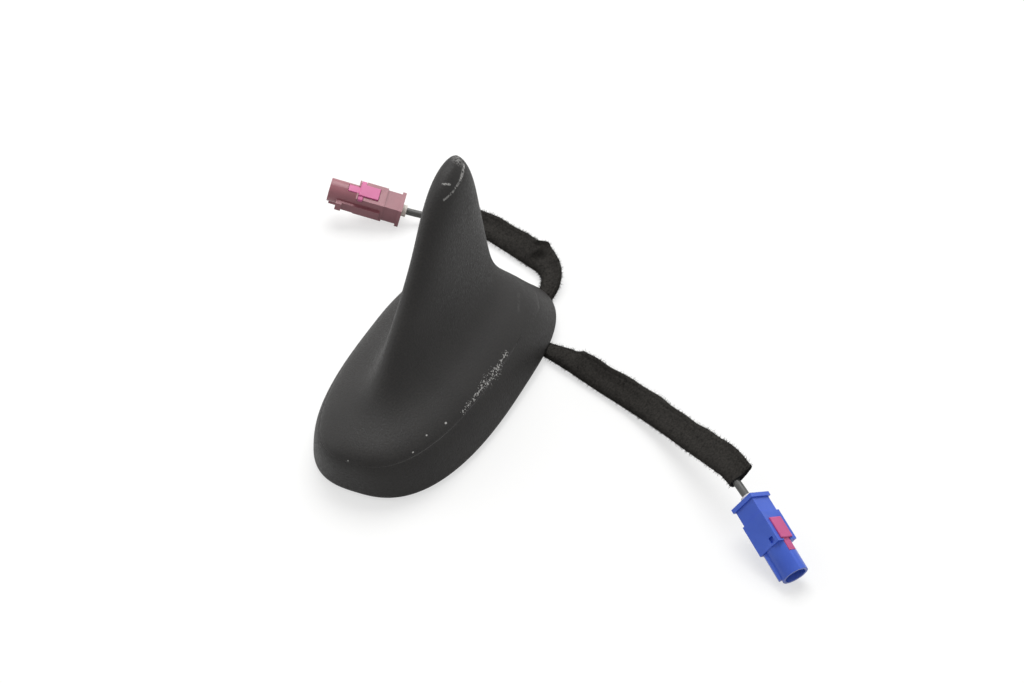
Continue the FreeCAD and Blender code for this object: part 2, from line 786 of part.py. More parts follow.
def plug_lock(plug):
    """Secondary lock: a plate, with or without side wings, and a tongue along the nose."""
    body = doc.addObject("PartDesign::Body", plug + "_lock_body")
    name = plug + "_lock_"
    plate = attach(body, name + "plate", "XY", LOCK_FLOOR_EXPR)
    draw_rectangle(
        plate,
        ("sizes.lock_start", "-sizes.lock_width / 2"),
        (LOCK_END_EXPR, "sizes.lock_width / 2"),
    )
    pad(body, plate, "sizes.lock_depth + sizes.lock_proud")
    if plug in WINGED_LOCKS:
        bar = attach(body, name + "bar", "XY", LOCK_FLOOR_EXPR)
        draw_rectangle(
            bar,
            ("%s - sizes.lock_bar" % LOCK_END_EXPR, "-sizes.block_size / 2"),
            (LOCK_END_EXPR, "sizes.block_size / 2"),
        )
        pad(body, bar, "sizes.lock_depth")
    tongue = attach(body, name + "tongue", "XY", LOCK_FLOOR_EXPR)
    draw_rectangle(
        tongue,
        ("%s - sizes.lock_bar" % LOCK_END_EXPR, "-sizes.tongue_width / 2"),
        ("%s + sizes.tongue_length" % LOCK_END_EXPR, "sizes.tongue_width / 2"),
    )
    pad(body, tongue, "sizes.tongue_thickness")
    body.Placement = plug_placement(plug)
    return keep(body, plug + "_plug_lock")


def plug_tube(plug, label, start, length, outside, bore):
    """Turned piece on the plug's axis: a rod, or a tube where it has a bore."""
    body = doc.addObject("PartDesign::Body", "%s_%s_body" % (plug, label))
    sketch = attach(body, "%s_%s_profile" % (plug, label), "YZ", start)
    draw_circle(sketch, outside)
    if bore:
        draw_circle(sketch, bore)
    pad(body, sketch, length)
    body.Placement = plug_placement(plug)
    return keep(body, "%s_%s" % (plug, label))


FERRULE_END_EXPR = "(sizes.ferrule_length - sizes.ferrule_tail)"


def coaxial_plug(plug):
    """One plug with its housing, lock and contacts."""
    plug_housing(plug)
    plug_lock(plug)
    outside = "sizes.core_diameter"
    plug_tube(plug, "ferrule", "-sizes.ferrule_tail", "sizes.ferrule_length", outside, "sizes.coax_diameter")
    plug_tube(plug, "contact_shell", FERRULE_END_EXPR, "sizes.shell_length", outside, "sizes.shell_bore")
    length = "sizes.insulator_length"
    plug_tube(plug, "contact_insulator", FERRULE_END_EXPR, length, "sizes.shell_bore", "sizes.pin_diameter")
    plug_tube(plug, "contact_pin", FERRULE_END_EXPR, "sizes.pin_length", "sizes.pin_diameter", None)


for plug_name in ("gps", "phone"):
    coaxial_plug(plug_name)

# Leads. Each one starts at the grommet, goes out under the rim, is taped from there
# on and rises into its plug. The tape starts and ends halfway between two lists.

LEAD_Z = size("lead_height")
ROUTES = {
    "gps": {
        "under": [
            (-19.7, 4.0, LEAD_Z),
            (-26.4, 7.9, LEAD_Z),
            (-30.6, 14.6, LEAD_Z),
            (-31.8, 24.6, LEAD_Z),
        ],
        "taped": [
            (-28.6, 38.4, 2.8),
            (-25.6, 46.6, 2.4),
            (-21.2, 57.6, 2.3),
            (-15.4, 69.2, 2.9),
            (-8.0, 81.1, 5.6),
            (1.5, 92.8, 10.0),
            (11.0, 103.0, 13.9),
        ],
        "bare": [],
    },
    "phone": {
        "under": [
            (-20.0, -4.0, LEAD_Z),
            (-29.0, -2.0, LEAD_Z),
            (-37.5, 3.0, LEAD_Z),
            (-46.0, 10.6, LEAD_Z),
            (-55.5, 15.6, LEAD_Z),
        ],
        "taped": [
            (-66.4, 16.4, 2.6),
            (-74.4, 12.6, 2.4),
            (-79.4, 5.4, 2.3),
            (-83.6, -6.4, 2.3),
            (-87.4, -19.2, 2.3),
        ],
        "bare": [(-87.0, -31.9, 2.4)],
    },
}
ARC_SHARE = 0.45


def lead_points(plug, side):
    """The three lists of a route, from the grommet to the bottom of the ferrule."""
    start = Vector(size("boss_rear"), side * size("lead_spacing") / 2, LEAD_Z)
    lie = plug_placement(plug)
    ends = [lie.multVec(Vector(x, 0, 0)) for x in (-size("coax_tail"), size("coax_reach"))]
    under, taped, bare = ([Vector(*point) for point in points] for points in ROUTES[plug].values())
    return [start] + under, taped, bare + ends


def bend(before, corner, after):
    """Tangent arc at a corner of the route, as large as its two runs allow."""
    back = before - corner
    ahead = after - corner
    shorter = min(back.Length, ahead.Length)
    turn = math.pi - back.getAngle(ahead)
    radius = ARC_SHARE * shorter / math.tan(turn / 2)
    start = corner + back.normalize() * ARC_SHARE * shorter
    end = corner + ahead.normalize() * ARC_SHARE * shorter
    middle_way = (back + ahead).normalize()
    depth = radius / math.cos(turn / 2) - radius
    return start, corner + middle_way * depth, end, radius


def tube(start, bends, end, diameter):
    """Round tube along straight runs joined by tangent arcs."""
    edges = []
    here = start
    for bend_start, middle, bend_end, _ in bends:
        edges.append(Part.LineSegment(here, bend_start).toShape())
        edges.append(Part.Arc(bend_start, middle, bend_end).toShape())
        here = bend_end
    edges.append(Part.LineSegment(here, end).toShape())
    path = Part.Wire(edges)
    circle = Part.Circle(start, edges[0].tangentAt(edges[0].FirstParameter), diameter / 2).toShape()
    solid = path.makePipeShell([Part.Wire([circle])], True, False)
    expected = math.pi * diameter**2 / 4 * path.Length
    return solid, path.Length, solid.Volume / expected


def lead(plug, side):
    """Bare coax under the base, taped stretch, and bare coax into the plug."""
    under, taped, bare = lead_points(plug, side)
    points = under + taped + bare
    bends = [bend(*corner) for corner in zip(points, points[1:], points[2:])]
    tape_start = (under[-1] + taped[0]) / 2
    tape_end = (taped[-1] + bare[0]) / 2
    first = len(under) - 1
    last = first + len(taped)
    stretches = {
        "lead_inner": (points[0], bends[:first], tape_start, "coax_diameter"),
        "tape": (tape_start, bends[first:last], tape_end, "tape_diameter"),
        "lead_end": (tape_end, bends[last:], points[-1], "coax_diameter"),
    }
    for label, (start, turns, end, diameter) in stretches.items():
        solid, length, ratio = tube(start, turns, end, size(diameter))
        feature("%s_%s" % (plug, label), solid)
        print(plug, label, "length %.1f" % length, "volume ratio %.4f" % ratio)
        print("  bend radii:", " ".join("%.1f" % turn[3] for turn in turns))


lead("gps", 1)
lead("phone", -1)

# Every object has to be sound before anything is written.

doc.recompute()
for obj in doc.Objects:
    if "Invalid" in obj.State or "Error" in obj.State:
        raise RuntimeError("%s failed: %s" % (obj.Label, obj.State))
for obj in sub_parts:
    if obj.Shape.isNull() or not obj.Shape.isValid():
        raise RuntimeError("%s has no sound shape" % obj.Label)

os.makedirs("parts", exist_ok=True)
for obj in sub_parts:
    obj.Shape.exportStep("parts/%s.step" % obj.Label)
print(len(sub_parts), "sub-parts written")
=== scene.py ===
# %% [markdown]
# A car roof antenna: a black shark-fin cover on a cast plate, and two coaxial
# leads wrapped in fleece tape that end in a blue and a bordeaux plug. The solid
# model is already finished. It could be copied and changed here, but then the
# two would drift apart, so it is loaded as a fixed frame, and the looks are built
# around it in the same coordinates, in metres.

# %% Load the frame
import math

import bmesh
import bpy
import numpy as np
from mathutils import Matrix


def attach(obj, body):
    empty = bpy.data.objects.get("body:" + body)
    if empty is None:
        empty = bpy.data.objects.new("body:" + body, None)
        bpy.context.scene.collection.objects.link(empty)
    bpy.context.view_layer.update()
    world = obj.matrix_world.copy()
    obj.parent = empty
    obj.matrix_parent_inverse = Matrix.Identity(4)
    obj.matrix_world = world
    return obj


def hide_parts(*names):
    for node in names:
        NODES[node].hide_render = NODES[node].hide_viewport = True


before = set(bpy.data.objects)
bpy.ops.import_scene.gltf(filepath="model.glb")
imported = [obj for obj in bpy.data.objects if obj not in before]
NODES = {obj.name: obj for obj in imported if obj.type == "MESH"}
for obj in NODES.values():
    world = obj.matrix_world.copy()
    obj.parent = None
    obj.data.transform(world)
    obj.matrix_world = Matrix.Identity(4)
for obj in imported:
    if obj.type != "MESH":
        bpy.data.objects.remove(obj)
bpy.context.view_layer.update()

MM = 0.001

# %% [markdown]
# The camera and the lamps all look at one point on the floor. They could be
# placed by their coordinates, but a bearing, a height and a distance are easier
# to tune against a photo, because each number moves the picture in one way only.

# %% Aiming
AIM = np.array([-32.45, 14.7, 0.0]) * MM


def on_dome(bearing, height, distance):
    """Point at a distance from the aim: bearing turns from +X to +Y, height lifts off the floor."""
    level = math.cos(height)
    way = np.array([level * math.cos(bearing), level * math.sin(bearing), math.sin(height)])
    return AIM + distance * way


def look_at_aim(obj, point):
    """Put an object at a point, with its -Z axis towards the aim and its X axis level."""
    reach = point - AIM
    tilt = math.acos(reach[2] / np.linalg.norm(reach))
    turn = math.atan2(reach[1], reach[0]) + math.pi / 2
    obj.location = point
    obj.rotation_euler = (tilt, 0.0, turn)


print("aim point:", AIM)

# %% [markdown]
# The photo was taken from the front right, looking down at about 39 degrees.
# The fin hardly narrows towards the top, so the lens was fairly long. A shorter
# lens from nearby would frame the part as well, but it would swell the front.

# %% Camera
DISTANCE = 0.740
BEARING = math.radians(23.3)
HEIGHT = math.radians(38.9)
FOCAL_LENGTH = 75.59
SENSOR_WIDTH = 36.0
CLIP_START = 0.01

camera_data = bpy.data.cameras.new("camera")
camera_data.lens = FOCAL_LENGTH
camera_data.sensor_width = SENSOR_WIDTH
camera_data.clip_start = CLIP_START
camera = bpy.data.objects.new("camera", camera_data)
bpy.context.collection.objects.link(camera)
look_at_aim(camera, on_dome(BEARING, HEIGHT, DISTANCE))
bpy.context.scene.camera = camera
bpy.context.scene.view_settings.view_transform = "Standard"
print("camera at", np.round(np.array(camera.location), 3))

# %% [markdown]
# A mesh that is a function of two parameters is a grid of points. It could be
# built corner by corner in a loop, but whole arrays are faster and shorter. One
# helper lists the four corners of every cell at once, and another turns points
# and faces into an object, so each piece below is only its formula.

# %% Mesh helpers


def grid_cells(rows, columns):
    """Quads of a grid whose columns close into rings: corners (r,c), (r,c+1), (r+1,c+1), (r+1,c)."""
    index = np.arange(rows * columns).reshape(rows, columns)
    ahead = np.roll(index, -1, axis=1)
    return np.stack([index[:-1], ahead[:-1], ahead[1:], index[1:]], axis=-1).reshape(-1, 4)


def add_mesh(name, points, faces, smooth=True):
    """Object at the origin from an array of points and a list of faces."""
    mesh = bpy.data.meshes.new(name)
    mesh.from_pydata(points.tolist(), [], [list(face) for face in faces])
    mesh.polygons.foreach_set("use_smooth", np.full(len(mesh.polygons), smooth))
    mesh.update()
    obj = bpy.data.objects.new(name, mesh)
    bpy.context.collection.objects.link(obj)
    print(name, len(points), "points,", len(faces), "faces")
    return obj


print("two rings of three points make", len(grid_cells(2, 3)), "cells")

# %% [markdown]
# In a product picture, the white around a thing is brighter than the light that it
# throws back. One setting can't be both, so the floor and the room have to know
# who is looking. Blender's light path node tells it for each ray: the camera and
# reflections see one level, and the light that falls on things is another.

# %% Rays that see
DIRECT_RAYS = ("Is Glossy Ray", "Is Transmission Ray")


def seen_directly(nodes, links):
    """1 for camera, glossy and transmitted rays, 0 for the light that falls on things."""
    path = nodes.new("ShaderNodeLightPath")
    level = path.outputs["Is Camera Ray"]
    for ray in DIRECT_RAYS:
        either = nodes.new("ShaderNodeMath")
        either.operation = "MAXIMUM"
        links.new(level, either.inputs[0])
        links.new(path.outputs[ray], either.inputs[1])
        level = either.outputs["Value"]
    return level


print("seen by the camera and", ", ".join(DIRECT_RAYS))

# %% [markdown]
# The photo is lit like a product picture on a white sweep, with faint shadows.
# A white floor under strong light would do it, but it would also throw light back
# up under the cover. So the floor is only a pale grey for the light that falls on
# it, and a glow that only the camera and reflections see lifts it to paper white.

# %% Paper floor
FLOOR_HALF = 3.0
FLOOR_TONE = (0.38, 0.38, 0.375, 1.0)
FLOOR_GLOW = 0.62


def paper_finish():
    """Matt paper with a faint glow for the rays that see it directly."""
    material = bpy.data.materials.new("paper")
    material.use_nodes = True
    nodes, links = material.node_tree.nodes, material.node_tree.links
    nodes.clear()
    matte = nodes.new("ShaderNodeBsdfDiffuse")
    matte.inputs["Color"].default_value = FLOOR_TONE
    share = nodes.new("ShaderNodeMath")
    share.operation = "MULTIPLY"
    share.inputs[1].default_value = FLOOR_GLOW
    links.new(seen_directly(nodes, links), share.inputs[0])
    glow = nodes.new("ShaderNodeEmission")
    links.new(share.outputs["Value"], glow.inputs["Strength"])
    both = nodes.new("ShaderNodeAddShader")
    links.new(matte.outputs["BSDF"], both.inputs[0])
    links.new(glow.outputs["Emission"], both.inputs[1])
    out = nodes.new("ShaderNodeOutputMaterial")
    links.new(both.outputs["Shader"], out.inputs["Surface"])
    return material


floor_corners = FLOOR_HALF * np.array([[-1, -1, 0], [1, -1, 0], [1, 1, 0], [-1, 1, 0]])
floor = add_mesh("floor", floor_corners, [(0, 1, 2, 3)], smooth=False)
floor.data.materials.append(paper_finish())

# %% [markdown]
# Around the sweep is a white room. It is bright where the camera or a reflection
# sees it, and dimmer as a source of light, so that it fills the shadows without
# washing them out. A picture of a studio could light the part too, but a plain
# room keeps the file free of pictures.

# %% Room light
WHITE = (1.0, 1.0, 1.0, 1.0)
ROOM_LIGHT = 0.42
ROOM_SEEN = 1.0

world = bpy.data.worlds.new("studio")
world.use_nodes = True
bpy.context.scene.world = world
world_nodes, world_links = world.node_tree.nodes, world.node_tree.links
sky = world_nodes["Background"]
sky.inputs["Color"].default_value = WHITE
sky_level = world_nodes.new("ShaderNodeMapRange")
sky_level.inputs["To Min"].default_value = ROOM_LIGHT
sky_level.inputs["To Max"].default_value = ROOM_SEEN
world_links.new(seen_directly(world_nodes, world_links), sky_level.inputs["Value"])
world_links.new(sky_level.outputs["Result"], sky.inputs["Strength"])
print("room light:", ROOM_LIGHT, "seen as", ROOM_SEEN)

# %% [markdown]
# The shadows fall towards the camera, and level faces shine, so the main lamp
# hangs behind and above. Two weak panels at the sides show the curve of the
# skirt. All three are wide squares, because a small lamp would cut hard shadows
# that the photo doesn't have.

# %% Lamps
LAMPS = {
    "rear_overhead": {"bearing": 200, "height": 62, "distance": 1.3, "side": 1.1, "power": 15.0},
    "left_panel": {"bearing": -75, "height": 30, "distance": 1.2, "side": 0.8, "power": 3.0},
    "right_panel": {"bearing": 100, "height": 35, "distance": 1.3, "side": 0.9, "power": 0.6},
}
for lamp_name, lamp_facts in LAMPS.items():
    lamp_data = bpy.data.lights.new(lamp_name, "AREA")
    lamp_data.size = lamp_facts["side"]
    lamp_data.energy = lamp_facts["power"]
    lamp = bpy.data.objects.new(lamp_name, lamp_data)
    bpy.context.collection.objects.link(lamp)
    lamp_bearing = math.radians(lamp_facts["bearing"])
    lamp_height = math.radians(lamp_facts["height"])
    look_at_aim(lamp, on_dome(lamp_bearing, lamp_height, lamp_facts["distance"]))
    print(lamp_name, lamp_facts["power"], "W")

# %% [markdown]
# Two thin coaxial cables leave the rubber grommet under the base, run out
# beneath the rim and end in the plugs. Their way could be left to gravity, but
# the photo shows where they lie, so each is a row of control points from the
# grommet to the plug: the solid model's, moved by a few millimetres to follow
# the photo.

# %% Lead routes
ROUTES = {
    "gps": np.array([
        [-12.0, 4.0, 1.5], [-19.7, 4.0, 1.5], [-26.4, 7.9, 1.5], [-30.6, 14.6, 1.5], [-31.8, 24.6, 1.5],
        [-26.6, 37.4, 2.7], [-22.8, 45.8, 2.5], [-18.2, 57.0, 2.4], [-12.9, 69.0, 2.9], [-5.4, 80.9, 5.2],
        [4.0, 92.6, 9.2], [12.6, 103.0, 13.4], [19.94, 112.14, 16.30], [29.29, 123.98, 10.96],
    ]) * MM,
    "phone": np.array([
        [-12.0, -4.0, 1.5], [-20.0, -4.0, 1.5], [-29.0, -2.0, 1.5], [-37.5, 3.0, 1.5], [-46.0, 10.6, 1.5],
        [-55.5, 15.6, 1.5], [-65.0, 15.0, 2.6], [-71.6, 11.0, 2.5], [-74.8, 4.2, 2.4], [-80.2, -7.6, 2.3],
        [-85.4, -19.8, 2.3], [-87.0, -31.9, 2.4], [-83.43, -41.85, 3.10], [-79.11, -56.69, 7.24],
    ]) * MM,
}
print("control points:", {plug: len(route) for plug, route in ROUTES.items()})

# %% [markdown]
# A swept mesh would show the cables well enough. A curve object with a round bevel
# is chosen instead, because it is as smooth as needed from a few points, and it
# keeps its own centreline, so its true length can be measured.

# %% Coaxial leads
COAX = 2.6 * MM
LEAD_ORDER = 3
LEAD_STEPS = 16
LEAD_FACETS = 5


def add_lead(name, route):
    """Quadratic spline over the route's points, clamped at both ends, with a round section."""
    data = bpy.data.curves.new(name, "CURVE")
    data.dimensions = "3D"
    spline = data.splines.new("NURBS")
    spline.points.add(len(route) - 1)
    spline.points.foreach_set("co", np.column_stack([route, np.ones(len(route))]).ravel())
    spline.order_u = LEAD_ORDER
    spline.use_endpoint_u = True
    spline.resolution_u = LEAD_STEPS
    data.bevel_depth = COAX / 2
    data.bevel_resolution = LEAD_FACETS
    data.use_fill_caps = True
    obj = bpy.data.objects.new(name, data)
    bpy.context.collection.objects.link(obj)
    return obj


LEADS = {plug: add_lead(plug + "_coax", route) for plug, route in ROUTES.items()}
print("leads:", ", ".join(lead.name for lead in LEADS.values()))

# %% [markdown]
# A cable has a fixed length, and the tape has to follow its line exactly. The
# control points don't lie on the curve, so neither can be read off them. Blender
# itself gives the line when it makes a mesh of the curve without its section.

# %% Lines and lengths


def centreline(lead):
    """The points that the curve itself goes through, read from a copy of it without a section."""
    bare = lead.copy()
    bare.data = lead.data.copy()
    bare.data.bevel_depth = 0.0
    line = bpy.data.meshes.new_from_object(bare)
    points = np.empty(3 * len(line.vertices))
    line.vertices.foreach_get("co", points)
    bpy.data.objects.remove(bare)
    return points.reshape(-1, 3)


def run_lengths(points):
    """Distance along a polyline from its first point to each of its points."""
    steps = np.linalg.norm(np.diff(points, axis=0), axis=1)
    return np.concatenate([[0.0], np.cumsum(steps)])


LINES = {plug: centreline(lead) for plug, lead in LEADS.items()}

# %% [markdown]
# The tape and the cover are both rounded shapes that blend along their length.
# Three small formulas draw them: a power that keeps its sign makes rounded boxes
# out of circles, an eased step blends without a kink, and unit vectors give
# directions. Modifiers could round and blend too, but not by an exact measure.

# %% Curve helpers


def signed_power(base, exponent):
    """A power that keeps the sign of its base."""
    return np.sign(base) * np.abs(base) ** exponent


def eased(value):
    """Smooth step: 0 below 0, 1 above 1, level at both ends."""
    share = np.clip(value, 0.0, 1.0)
    return share * share * (3 - 2 * share)


def unit(vectors):
    """Vectors scaled to a length of one."""
    return vectors / np.linalg.norm(vectors, axis=-1, keepdims=True)


print("eased step at a quarter, a half and three quarters:", eased(np.array([0.25, 0.5, 0.75])))

# %% [markdown]
# A sleeve on a cable is easiest to describe by lengths: so far along it starts,
# so far along it turns. But a photo gives places, not lengths. One helper turns a
# place into the length at which the line passes it, and another turns lengths
# back into points, with the direction of the line there.

# %% Lengths and points


def nearest_run(line, point_mm):
    """Length along a line at which it passes closest to a point."""
    gaps = np.linalg.norm(line - np.array(point_mm) * MM, axis=1)
    return run_lengths(line)[np.argmin(gaps)]


def along(line, lengths):
    """Points on a polyline at the given lengths, and the unit direction there."""
    runs = run_lengths(line)
    points = np.stack([np.interp(lengths, runs, line[:, k]) for k in range(3)], axis=1)
    return points, unit(np.gradient(points, axis=0))


print("blue plug's place on its lead:", nearest_run(LINES["gps"], ROUTES["gps"][-1] / MM))

# %% [markdown]
# Black fleece tape is folded lengthwise round each cable and pressed to itself,
# so the cable lies in the fold and the rest stands off it as a soft flag. Cloth
# simulation could drape it, but the photo shows stiff felt that holds its form,
# so it is carried along the cable's own line. It starts under the rim, and it
# has one sharp turn.

# %% Tape course
TAPE_SPANS = {
    "gps": ((-31.8, 26.0, 1.6), (20.2, 112.6, 15.9)),
    "phone": ((-55.0, 15.4, 1.5), (-87.2, -26.5, 2.4)),
}
TURN_PLACES = {"gps": (-27.5, 41.0, 2.6), "phone": (-74.3, 5.4, 2.4)}
TAPE_ROWS = 420


def tape_course(plug):
    """Points and directions of the taped stretch, and lengths from its start and from its turn."""
    line = LINES[plug]
    start, end = (nearest_run(line, point) for point in TAPE_SPANS[plug])
    lengths = np.linspace(start, end, TAPE_ROWS)
    points, ways = along(line, lengths)
    turn = lengths - nearest_run(line, TURN_PLACES[plug])
    return points, ways, (lengths - start)[:, None], turn[:, None]


print("taped lengths:", {plug: round(tape_course(plug)[2][-1, 0], 4) for plug in ROUTES})

# %% [markdown]
# Under the rim the tape lies narrow and flat. Further out it widens and leans up
# on its fold, and it sways a little, as felt does. At the sharp turn it swings
# to and fro and its free edge stands out to a blunt point. Each of these is a
# formula of the length along the tape, so that they add up smoothly.

# %% Tape width and lean
TAPE_WIDE = 9.4 * MM
TAPE_NARROW = 6.0 * MM
SLOW_SWAY, SLOW_WAVE = 0.025, 7.0 * MM
QUICK_SWAY, QUICK_WAVE = 0.015, 2.3 * MM
POINT_RISE, POINT_REACH = 2.4 * MM, 2.4 * MM
FLAG_LEAN = math.radians(40)
LEAN_SWAY, LEAN_WAVE = 0.12, 13.0 * MM
SWING_LEAN, SWING_WAVE = 0.5, 1.9 * MM


def tape_width(run, turn, strength, opening, phase):
    """Width from fold to free edge: wider as it opens, in two waves, with a blunt point at the turn."""
    wide = TAPE_NARROW + (TAPE_WIDE - TAPE_NARROW) * opening
    slow = SLOW_SWAY * np.sin(run / SLOW_WAVE + phase[1])
    quick = QUICK_SWAY * np.sin(run / QUICK_WAVE + phase[2])
    point = POINT_RISE * strength * np.exp(-np.abs(turn) / POINT_REACH)
    return wide * (1 + slow + quick) + point


def tape_lean(run, turn, crumple, opening, phase):
    """Angle of the flag off the floor: grows as the tape opens, sways, and swings in the crumple."""
    sway = 1 + LEAN_SWAY * np.sin(run / LEAN_WAVE + phase[0])
    return FLAG_LEAN * opening * sway + SWING_LEAN * crumple * np.sin(turn / SWING_WAVE)


print("tape width:", TAPE_NARROW, "to", TAPE_WIDE)

# %% [markdown]
# Across the tape, the section is thick at the fold, where the cable lies, and
# thin at the flag, with a line pressed in near the free edge. Slanted waves and
# the crumple's short ripples bend the flag, but not the fold: if they did, the
# cable would show through. A texture could fake them, but not at the outline.

# %% Tape thickness and ripples
FOLD_THICK = 4.4 * MM
START_THICK = 3.0 * MM
FLAG_THICK = 2.0 * MM
FOLD_SHARE = 0.7
PRESS_DEPTH, PRESS_AT, PRESS_HALF = 0.22, 0.82, 0.05
CABLE_SHARE, CLEAR_SHARE = 0.25, 0.4
WAVE_DEPTH, WAVE_SLANT, WAVE_LENGTH = 0.25 * MM, 5.0, 6.0 * MM
RIPPLE_DEPTH, RIPPLE_SLANT, RIPPLE_LENGTH = 0.9 * MM, 7.0, 1.3 * MM


def tape_thickness(u, opening):
    """Thickness at a share u of the width: falls from fold to flag, less a bell curve at the pressed line."""
    fold = START_THICK + (FOLD_THICK - START_THICK) * opening
    thick = fold + (FLAG_THICK - fold) * eased(u / FOLD_SHARE) * opening
    return thick * (1 - PRESS_DEPTH * np.exp(-(((u - PRESS_AT) / PRESS_HALF) ** 2)))


def tape_ripples(u, run, turn, crumple, opening, phase):
    """Offset off the flag's plane: slanted sine waves and crumple ripples that fade towards the cable."""
    clear_of_cable = eased((u - CABLE_SHARE) / CLEAR_SHARE)
    waves = WAVE_DEPTH * opening * np.sin(u * WAVE_SLANT + run / WAVE_LENGTH + phase[3])
    ripples = RIPPLE_DEPTH * crumple * np.sin(u * RIPPLE_SLANT + turn / RIPPLE_LENGTH + phase[4])
    return clear_of_cable * (waves + ripples)


print("tape thickness:", FLAG_THICK, "to", FOLD_THICK)

# %% [markdown]
# Now the section is carried along the course. The flag lies to one side of each
# cable. A ring of points with rounded corners is stretched to the width and the
# thickness, turned by the lean and set on each point of the line. Felt is rough,
# so every point also moves by a few hundredths of a millimetre at random.

# %% Tape ring
FLAG_SIDES = {"gps": -1, "phone": 1}
CRUMPLE_STRENGTHS = {"gps": 0.25, "phone": 0.8}
CRUMPLE_REACH = 3.8 * MM
WIDENING = 24.0 * MM
TAPE_COLUMNS = 84
TAPE_SQUARENESS = 2.8
FOLD_EDGE = 2.3 * MM
FELT_DEPTH = 0.045 * MM
PHASES = 6
UP = np.array([0.0, 0.0, 1.0])


def tape_ring(plug, rng):
    """Superellipse ring swept along the lead: u runs from the fold to the free edge, n across the flag."""
    points, ways, run, turn = tape_course(plug)
    strength = CRUMPLE_STRENGTHS[plug]
    crumple = strength * np.exp(-((turn / CRUMPLE_REACH) ** 2))
    opening = eased(run / WIDENING)
    phase = rng.uniform(0.0, 2 * np.pi, PHASES)
    lean = tape_lean(run, turn, crumple, opening, phase)

    angle = np.linspace(0.0, 2 * np.pi, TAPE_COLUMNS, endpoint=False)
    u = (1 - signed_power(np.cos(angle), 2 / TAPE_SQUARENESS)) / 2
    n = tape_thickness(u, opening) / 2 * signed_power(np.sin(angle), 2 / TAPE_SQUARENESS)
    n = n + tape_ripples(u, run, turn, crumple, opening, phase)
    felt = FELT_DEPTH * rng.standard_normal((TAPE_ROWS, TAPE_COLUMNS))
    across = tape_width(run, turn, strength, opening, phase) * u - FOLD_EDGE - felt * np.cos(angle)
    over = n + felt * np.sin(angle)

    outward = unit(np.cross(ways, UP)) * FLAG_SIDES[plug]
    upward = unit(np.cross(outward, ways)) * FLAG_SIDES[plug]
    flag = np.cos(lean) * outward + np.sin(lean) * upward
    face = np.cos(lean) * upward - np.sin(lean) * outward
    ring = points[:, None] + across[..., None] * flag[:, None] + over[..., None] * face[:, None]
    return ring, ways


print("tape grid:", TAPE_ROWS, "by", TAPE_COLUMNS)

# %% [markdown]
# Fleece is never smooth at its edge: loose fibres stand off it. A hair system
# would make them, but it would not survive the export, so the fibres are real,
# very thin spikes of four points each. Each has a root of its own on the tape,
# and they are combed at random.

# %% Loose fibres
FIBRES = 3000
FIBRE_ROOT = 0.075 * MM
FIBRE_LENGTH = (0.5 * MM, 1.5 * MM)
FIBRE_COMB = 0.9
FIBRE_SIDES = np.array([[1, 0, 3], [2, 1, 3], [0, 2, 3], [0, 1, 2]])


def fibre_points(ring, rng):
    """Spikes: three points round a root on the ring, one tip off it along the normal plus a random comb."""
    places = rng.choice((TAPE_ROWS - 2) * TAPE_COLUMNS, FIBRES, replace=False)
    rows, columns = 1 + places // TAPE_COLUMNS, places % TAPE_COLUMNS
    root = ring[rows, columns]
    forward = unit(ring[rows + 1, columns] - ring[rows - 1, columns])
    off = root - ring[rows].mean(axis=1)
    off = unit(off - forward * np.sum(off * forward, axis=1, keepdims=True))
    beside = np.cross(forward, off)
    comb = off + FIBRE_COMB * unit(rng.standard_normal((FIBRES, 3)))
    tip = root + rng.uniform(*FIBRE_LENGTH, (FIBRES, 1)) * unit(comb)
    thirds = np.arange(3) * 2 * np.pi / 3
    spokes = np.cos(thirds)[:, None] * forward[:, None] + np.sin(thirds)[:, None] * beside[:, None]
    feet = root[:, None] + FIBRE_ROOT * spokes
    return np.concatenate([feet, tip[:, None]], axis=1)


print("fibres on each tape:", FIBRES)

# %% [markdown]
# Each tape is cut square at both ends, where the folded layers show. A flat cap
# would look like solid rubber, so rings that shrink towards the middle step in
# and out, as the layers do. The first column is the size of a ring, and the
# second is its step in millimetres.

# %% Cut ends
CUT_RINGS = np.array([[0.93, 0.1], [0.80, -0.6], [0.66, 0.2], [0.50, -0.7], [0.34, 0.1], [0.18, -0.6]])


def cut_end(ring, way):
    """Rings scaled towards the middle by the first column, moved along the way by the second, in mm."""
    shrink, step = CUT_RINGS[:, 0], CUT_RINGS[:, 1] * MM
    centre = ring.mean(axis=0)
    return centre + shrink[:, None, None] * (ring - centre) + step[:, None, None] * way


print("rings at each cut:", len(CUT_RINGS))

# %% [markdown]
# Sleeve, cut ends and fibres go into one mesh, because they are one piece of felt.
# The two flags lie on opposite sides of their cables, so the order of the corners
# is turned round on one of them, which keeps its faces outward. Nothing is left
# lower than the floor.

# %% Tapes
FLOOR_CLEARANCE = 0.05 * MM
FIRST_SEED = 3


